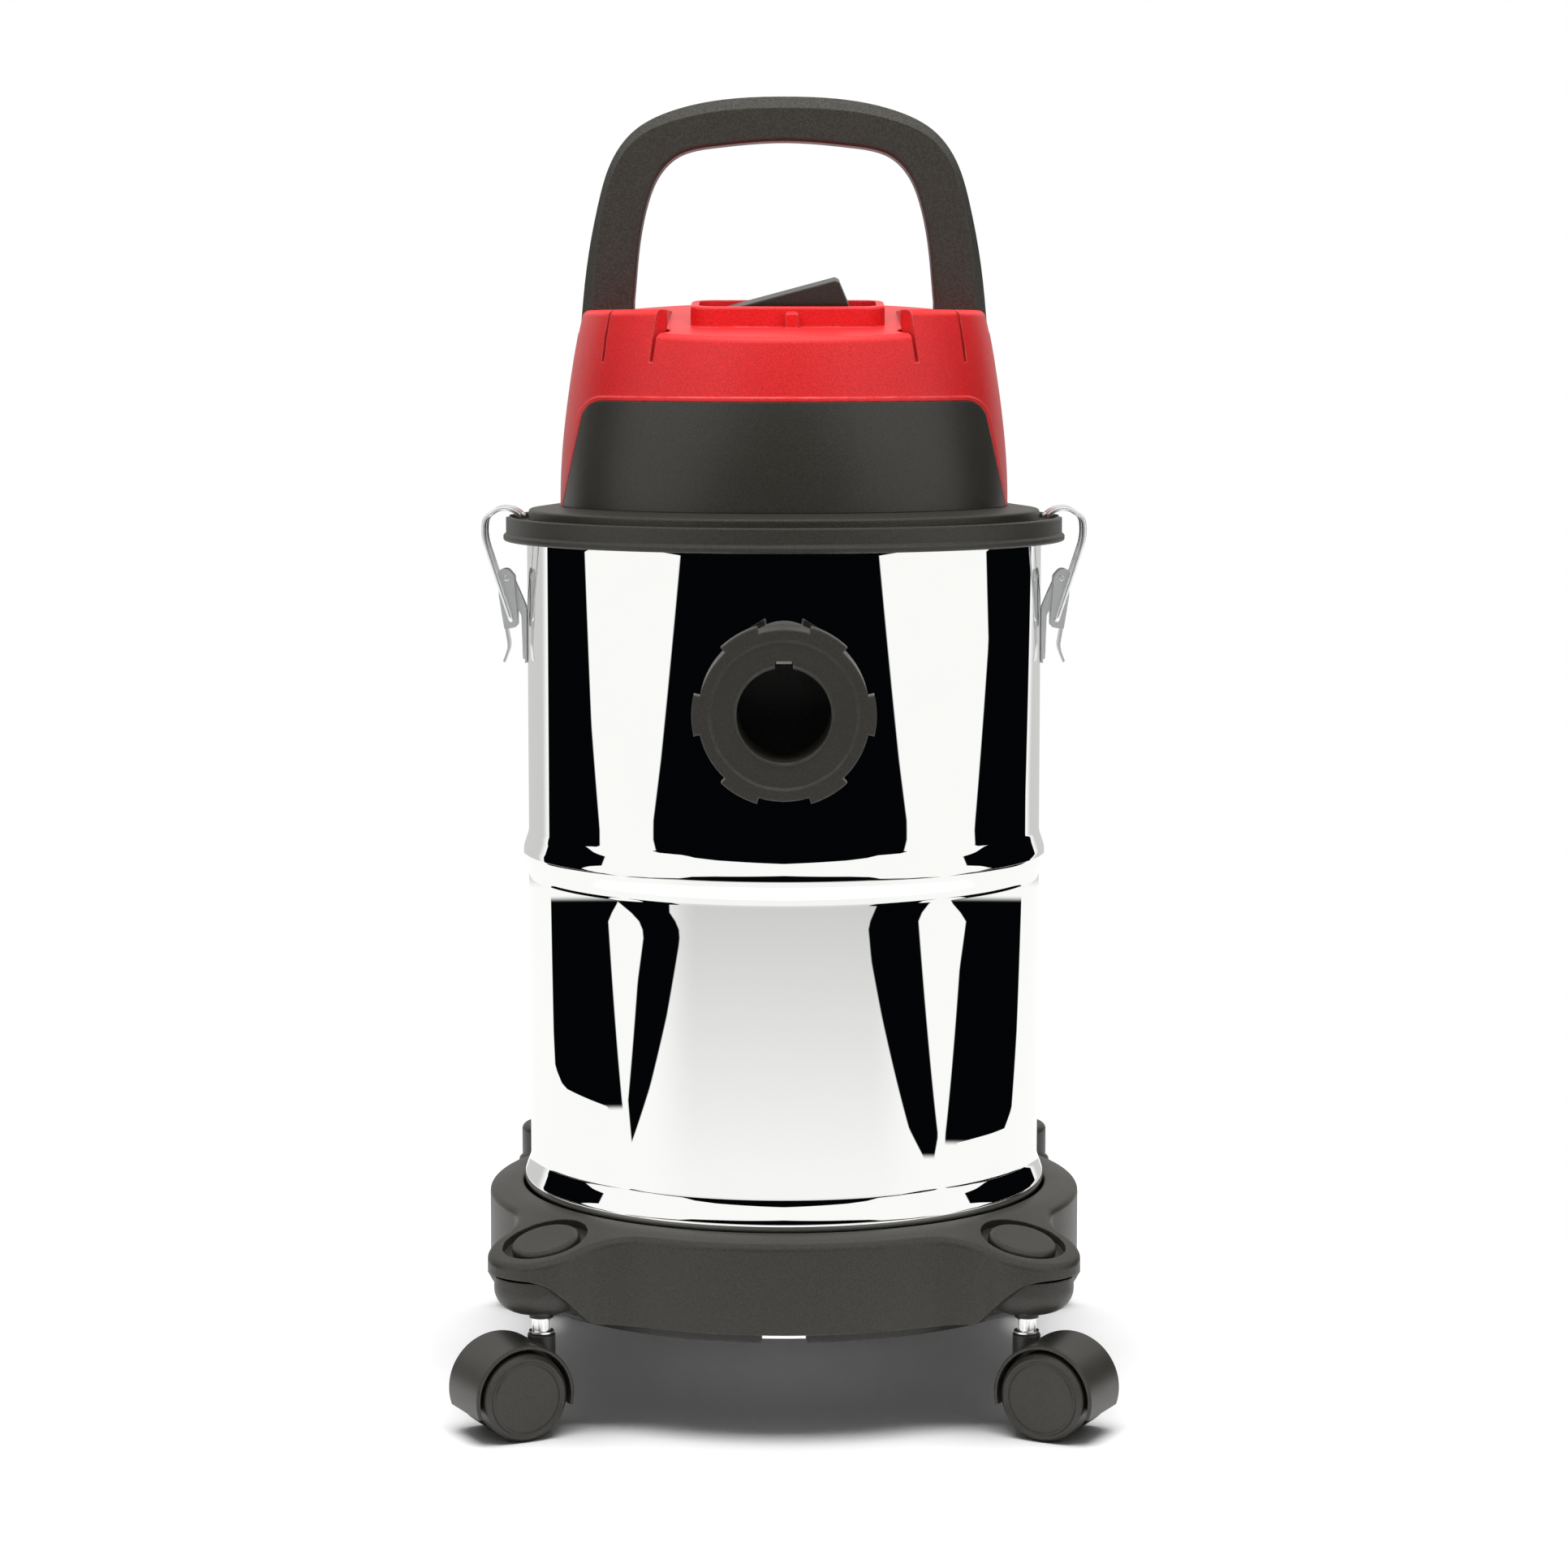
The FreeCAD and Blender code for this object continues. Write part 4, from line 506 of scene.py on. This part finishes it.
def soft_light(name, place, size, power):
    lamp = bpy.data.lights.new(name, "AREA")
    lamp.shape, lamp.energy = "RECTANGLE", power
    lamp.size, lamp.size_y = size
    holder = bpy.data.objects.new(name, lamp)
    holder.location = place
    aim = Vector(LIGHTS_AIM) - Vector(place)
    holder.rotation_euler = aim.to_track_quat("-Z", "Y").to_euler()
    holder.visible_glossy = False
    bpy.context.scene.collection.objects.link(holder)
    return holder


class VACUUM_OT_studio(Operator):
    """Lay the pale floor, hang the soft lights and set up the camera"""
    bl_idname = "vacuum.studio"
    bl_label = "Studio"

    def execute(self, context):
        scene = context.scene
        studio = scene.vacuum_studio
        scene.view_settings.view_transform = "Standard"
        scene.world = studio_surroundings((studio.low_fill, studio.high_fill))
        bm = bmesh.new()
        bmesh.ops.create_circle(bm, cap_ends=True, segments=96, radius=studio.floor_radius)
        finished("studio_floor", bm, [floor_finish(studio)])
        soft_light("overhead", OVERHEAD_PLACE, OVERHEAD_SIZE, studio.overhead_power)
        off_floor = bpy.data.collections.new("lit_from_the_front")
        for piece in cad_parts.values():
            off_floor.objects.link(piece)
        out, back, up = FRONT_PLACE
        for name, place in (("front_left", (-out, back, up)), ("front_right", (out, back, up))):
            lamp = soft_light(name, place, FRONT_SIZE, studio.front_power)
            lamp.light_linking.receiver_collection = off_floor
        lens = bpy.data.cameras.new("camera")
        lens.lens, lens.sensor_width = studio.focal_length, SENSOR_WIDTH
        lens.clip_start, lens.clip_end = 0.05, 50.0
        camera = bpy.data.objects.new("camera", lens)
        camera.location = (0.0, -studio.camera_distance, studio.camera_height)
        camera.rotation_euler = (math.pi / 2 - studio.camera_pitch, 0.0, 0.0)
        scene.collection.objects.link(camera)
        scene.camera = camera
        return {"FINISHED"}


# ---------------------------------------------------------------- mesh and finish helpers

def finished(name, bm, materials, sharp=35.0):
    """The bmesh as an object at the origin, smooth apart from its sharp edges."""
    bmesh.ops.remove_doubles(bm, verts=bm.verts, dist=1e-6)
    bmesh.ops.recalc_face_normals(bm, faces=bm.faces)
    for face in bm.faces:
        face.smooth = True
    for edge in bm.edges:
        edge.smooth = (len(edge.link_faces) == 2
                       and edge.calc_face_angle(0.0) < math.radians(sharp))
    mesh = bpy.data.meshes.new(name)
    bm.to_mesh(mesh)
    bm.free()
    for material in materials:
        mesh.materials.append(material)
    piece = bpy.data.objects.new(name, mesh)
    bpy.context.scene.collection.objects.link(piece)
    return piece


def dress(material, *nodes):
    """Give CAD nodes their procedural material."""
    for node in nodes:
        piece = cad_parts[node]
        if not piece.material_slots:
            piece.data.materials.append(material)
        for holder in piece.material_slots:
            holder.material = material


FINISHES = {}


def shared_finish(name, make, **settings):
    """The finish of that name, made the first time it is asked for."""
    if name not in FINISHES:
        FINISHES[name] = make(name, **settings)
    return FINISHES[name]


def black_plastic(finish):
    return shared_finish("black_plastic", plastic, rgb=finish.black, roughness=0.44,
                         grain_size=finish.grain, grain_depth=0.10, fleck=0.22, edge_lift=0.09,
                         radius=0.0011)


def bright_steel():
    return shared_finish("bright_steel", metal, rgb=(0.82, 0.82, 0.81), roughness=0.17,
                         unevenness=0.05)


def rubber():
    return shared_finish("rubber", plastic, rgb=(0.018, 0.018, 0.018), roughness=0.62,
                         grain_size=0.8, grain_depth=0.04)


def grey_plastic():
    return shared_finish("grey_plastic", plastic, rgb=(0.11, 0.11, 0.11), roughness=0.50,
                         grain_size=0.8, grain_depth=0.05)


# ---------------------------------------------------------------- the polished drum

# Corners of the drum's side as (outward from the plain radius, height, rounding), in millimetres.
DRUM_SIDE = [(-7, 84, 0), (-6, 98, 30), (4.9, 115, 10), (0, 127.5, 12), (0, 292, 14),
             (3.75, 303, 12), (0, 314, 14), (0, 479, 2), (2.4, 481, 1), (2.4, 484, 0)]
ROUNDING_STEPS = 10
INLET_HEIGHT, INLET_REACH, INLET_STEP = 395, 40, 4     # rows of faces beside the inlet
NEAR_INLET, HOLE_MARGIN = 0.05, 0.005
# Rows that keep the long faces flat beside each rounding, so that their reflections run straight.
HOLDING_ROWS = [106.0, 131.0, 135.0, 170.0, 210.0, 250.0, 285.0, 288.5, 317.5, 321.0, 340.0,
                455.0, 473.0, 476.5]


def drum_profile(bm, radius):
    """The drum's side in the XZ plane, with rounded corners and its rows."""
    corners = [Vector((radius + out * MM, 0.0, up * MM)) for out, up, _ in DRUM_SIDE]
    verts = [bm.verts.new(corner) for corner in corners]
    for first, second in zip(verts, verts[1:]):
        bm.edges.new((first, second))
    for here, before, after, (_, _, rounding) in zip(corners[1:], corners, corners[2:],
                                                     DRUM_SIDE[1:]):
        if not rounding:
            continue
        reach = rounding * MM / math.tan((before - here).angle(after - here) / 2)
        vert = min(bm.verts, key=lambda v: (v.co - here).length)
        bmesh.ops.bevel(bm, geom=[vert], offset=reach, offset_type="OFFSET", affect="VERTICES",
                        segments=ROUNDING_STEPS, profile=0.5, material=-1)
    inlet_rows = range(INLET_HEIGHT - INLET_REACH, INLET_HEIGHT + INLET_REACH + 1, INLET_STEP)
    for height in list(inlet_rows) + HOLDING_ROWS:
        bmesh.ops.bisect_plane(bm, geom=bm.verts[:] + bm.edges[:],
                               plane_co=(0, 0, height * MM), plane_no=(0, 0, 1))


def cut_inlet_hole(bm, radius, hole):
    """Take out the faces behind the inlet's flange and round the opening's rim."""
    inlet = INLET_HEIGHT * MM

    def from_inlet(vert):
        return math.hypot(vert.co.x, vert.co.z - inlet) if vert.co.y < 0 else 1.0

    covered = [face for face in bm.faces
               if max(from_inlet(v) for v in face.verts) < hole + HOLE_MARGIN]
    bmesh.ops.delete(bm, geom=covered, context="FACES")
    for edge in bm.edges:
        if edge.is_boundary and from_inlet(edge.verts[0]) < NEAR_INLET:
            for vert in edge.verts:
                scale = hole / from_inlet(vert)
                vert.co.x *= scale
                vert.co.z = inlet + (vert.co.z - inlet) * scale
                vert.co.y = -math.sqrt(radius ** 2 - vert.co.x ** 2)


class VACUUM_OT_drum(Operator):
    """Turn the polished steel drum, with its bead, its foot and the hole for the inlet"""
    bl_idname = "vacuum.drum"
    bl_label = "Polished drum"

    def execute(self, context):
        drum = context.scene.vacuum_drum
        steel = shared_finish("mirror_steel", polished, rgb=drum.steel)
        bm = bmesh.new()
        drum_profile(bm, drum.radius)
        bmesh.ops.spin(bm, geom=bm.verts[:] + bm.edges[:], cent=(0, 0, 0), axis=(0, 0, 1),
                       dvec=(0, 0, 0), angle=2 * math.pi, steps=drum.steps, use_merge=True)
        bmesh.ops.remove_doubles(bm, verts=bm.verts, dist=1e-6)
        cut_inlet_hole(bm, drum.radius, drum.hole)
        piece = finished("polished_drum", bm, [steel], sharp=60.0)
        wall = piece.modifiers.new("wall", "SOLIDIFY")
        wall.thickness, wall.offset, wall.use_even_offset = drum.wall, -1.0, True
        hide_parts("tank_shell")
        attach(piece, "vacuum")
        dress(steel, "tank_shell", "tank_floor")
        return {"FINISHED"}


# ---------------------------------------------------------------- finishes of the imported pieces

FINE_GRAIN = 0.8        # share of the usual grain on the glossier mouldings


class VACUUM_OT_head(Operator):
    """Finish the red cover, the front panel, the grille and the cord gland"""
    bl_idname = "vacuum.head"
    bl_label = "Head"

    def execute(self, context):
        finish = context.scene.vacuum_finish
        fine = finish.grain * FINE_GRAIN
        dress(shared_finish("red_plastic", plastic, rgb=finish.red, roughness=0.40,
                            grain_size=fine, grain_depth=0.05, fleck=0.14, edge_lift=0.16,
                            radius=0.0012), "head_cover")
        dress(shared_finish("panel_plastic", plastic, rgb=finish.black, roughness=0.36,
                            grain_size=fine, grain_depth=0.04, fleck=0.22), "front_panel")
        dress(black_plastic(finish), "exhaust_grille", "cable_gland")
        return {"FINISHED"}


class VACUUM_OT_handle(Operator):
    """Finish the carrying handle and its screws"""
    bl_idname = "vacuum.handle"
    bl_label = "Handle"

    def execute(self, context):
        finish = context.scene.vacuum_finish
        dress(shared_finish("handle_plastic", plastic, rgb=finish.handle, roughness=0.50,
                            grain_size=finish.grain, grain_depth=0.16, fleck=0.30,
                            edge_lift=0.06), "handle")
        dress(bright_steel(), "handle_screws")
        return {"FINISHED"}


class VACUUM_OT_switch(Operator):
    """Finish the rocker switch"""
    bl_idname = "vacuum.switch"
    bl_label = "Switch"

    def execute(self, context):
        finish = context.scene.vacuum_finish
        dress(shared_finish("switch_plastic", plastic, rgb=finish.black, roughness=0.34,
                            grain_size=finish.grain, grain_depth=0.04, fleck=0.2,
                            edge_lift=0.10), "switch_rocker", "switch_body")
        return {"FINISHED"}


class VACUUM_OT_lid(Operator):
    """Finish the lid, its seal and the screws that hold the cover"""
    bl_idname = "vacuum.lid"
    bl_label = "Lid"

    def execute(self, context):
        dress(black_plastic(context.scene.vacuum_finish), "lid")
        dress(rubber(), "lid_gasket")
        dress(bright_steel(), "housing_screws")
        return {"FINISHED"}


class VACUUM_OT_inlet(Operator):
    """Finish the hose inlet's flange, seal, elbow, key clip and screws"""
    bl_idname = "vacuum.inlet"
    bl_label = "Hose inlet"

    def execute(self, context):
        dress(black_plastic(context.scene.vacuum_finish), "inlet_flange")
        dress(rubber(), "inlet_gasket")
        dress(grey_plastic(), "inlet_elbow")
        dress(bright_steel(), "inlet_screws", "hose_key_clip")
        return {"FINISHED"}


class VACUUM_OT_latches(Operator):
    """Finish both latches in bright zinc"""
    bl_idname = "vacuum.latches"
    bl_label = "Latches"

    def execute(self, context):
        zinc = shared_finish("zinc", metal, rgb=context.scene.vacuum_finish.zinc,
                             roughness=0.30, unevenness=0.05)
        dress(zinc, "latch_rivets", "latch_pins")
        for side in ("left", "right"):
            dress(zinc, "latch_base_" + side, "latch_lever_" + side, "latch_bail_" + side)
        return {"FINISHED"}


class VACUUM_OT_dolly(Operator):
    """Finish the dolly, its caps, its sockets, its base ring and the clip"""
    bl_idname = "vacuum.dolly"
    bl_label = "Dolly"

    def execute(self, context):
        dress(black_plastic(context.scene.vacuum_finish), "dolly", "dolly_base_ring",
              "caster_sockets", "leg_caps")
        dress(bright_steel(), "base_clip")
        return {"FINISHED"}


class VACUUM_OT_casters(Operator):
    """Finish the four twin-wheel casters"""
    bl_idname = "vacuum.casters"
    bl_label = "Casters"

    def execute(self, context):
        finish = context.scene.vacuum_finish
        nylon = shared_finish("caster_plastic", plastic, rgb=finish.black, roughness=0.40,
                              grain_size=finish.grain * FINE_GRAIN, grain_depth=0.05,
                              fleck=0.22, edge_lift=0.10)
        dress(bright_steel(), "caster_stems")
        for corner in ("front_left", "front_right", "rear_left", "rear_right"):
            wheel = "caster_wheel_" + corner
            dress(nylon, "caster_hood_" + corner, wheel + "_a", wheel + "_b")
            dress(bright_steel(), "caster_axle_" + corner)
        return {"FINISHED"}


class VACUUM_OT_inside(Operator):
    """Finish the motor, the fan, the float and the filter inside"""
    bl_idname = "vacuum.inside"
    bl_label = "Motor, float and filter"

    def execute(self, context):
        dress(bright_steel(), "motor_bearings", "fan_housing")
        dress(rubber(), "motor_gasket")
        dress(grey_plastic(), "float_cage", "filter_retainer", "motor_bridge")
        dress(shared_finish("ball_plastic", plastic, rgb=(0.72, 0.72, 0.68), roughness=0.40,
                            grain_size=0.5, grain_depth=0.01), "float_ball")
        dress(shared_finish("filter_paper", paper), "cartridge_filter")
        dress(shared_finish("aluminium", metal, rgb=(0.75, 0.75, 0.76), roughness=0.35,
                            unevenness=0.08), "impeller")
        dress(shared_finish("motor_iron", metal, rgb=(0.30, 0.30, 0.31), roughness=0.42,
                            unevenness=0.10), "motor_rotor", "motor_stator")
        dress(shared_finish("carbon", plastic, rgb=(0.02, 0.02, 0.02), roughness=0.6,
                            grain_size=0.4, grain_depth=0.03), "motor_brushes")
        return {"FINISHED"}


# ---------------------------------------------------------------- add-on

OPERATORS = (VACUUM_OT_studio, VACUUM_OT_drum, VACUUM_OT_head, VACUUM_OT_handle,
             VACUUM_OT_switch, VACUUM_OT_lid, VACUUM_OT_inlet, VACUUM_OT_latches,
             VACUUM_OT_dolly, VACUUM_OT_casters, VACUUM_OT_inside)


class VACUUM_PT_looks(Panel):
    """Lists the studio, the drum and the finishes of the vacuum"""
    bl_idname = "VACUUM_PT_looks"
    bl_label = "Shop vacuum"
    bl_space_type = "VIEW_3D"
    bl_region_type = "UI"
    bl_category = "Vacuum"

    def draw(self, context):
        scene = context.scene
        for settings in (scene.vacuum_studio, scene.vacuum_finish, scene.vacuum_drum):
            box = self.layout.box()
            for name in settings.__annotations__:
                box.prop(settings, name)
        for operator in OPERATORS:
            self.layout.operator(operator.bl_idname)


CLASSES = (StudioSettings, FinishSettings, DrumSettings) + OPERATORS + (VACUUM_PT_looks,)


def register():
    for one in CLASSES:
        bpy.utils.register_class(one)
    bpy.types.Scene.vacuum_studio = PointerProperty(type=StudioSettings)
    bpy.types.Scene.vacuum_finish = PointerProperty(type=FinishSettings)
    bpy.types.Scene.vacuum_drum = PointerProperty(type=DrumSettings)


def unregister():
    del bpy.types.Scene.vacuum_drum
    del bpy.types.Scene.vacuum_finish
    del bpy.types.Scene.vacuum_studio
    for one in reversed(CLASSES):
        bpy.utils.unregister_class(one)


def main():
    register()
    for operator in OPERATORS:
        group, name = operator.bl_idname.split(".")
        getattr(getattr(bpy.ops, group), name)()


if __name__ == "__main__":
    main()
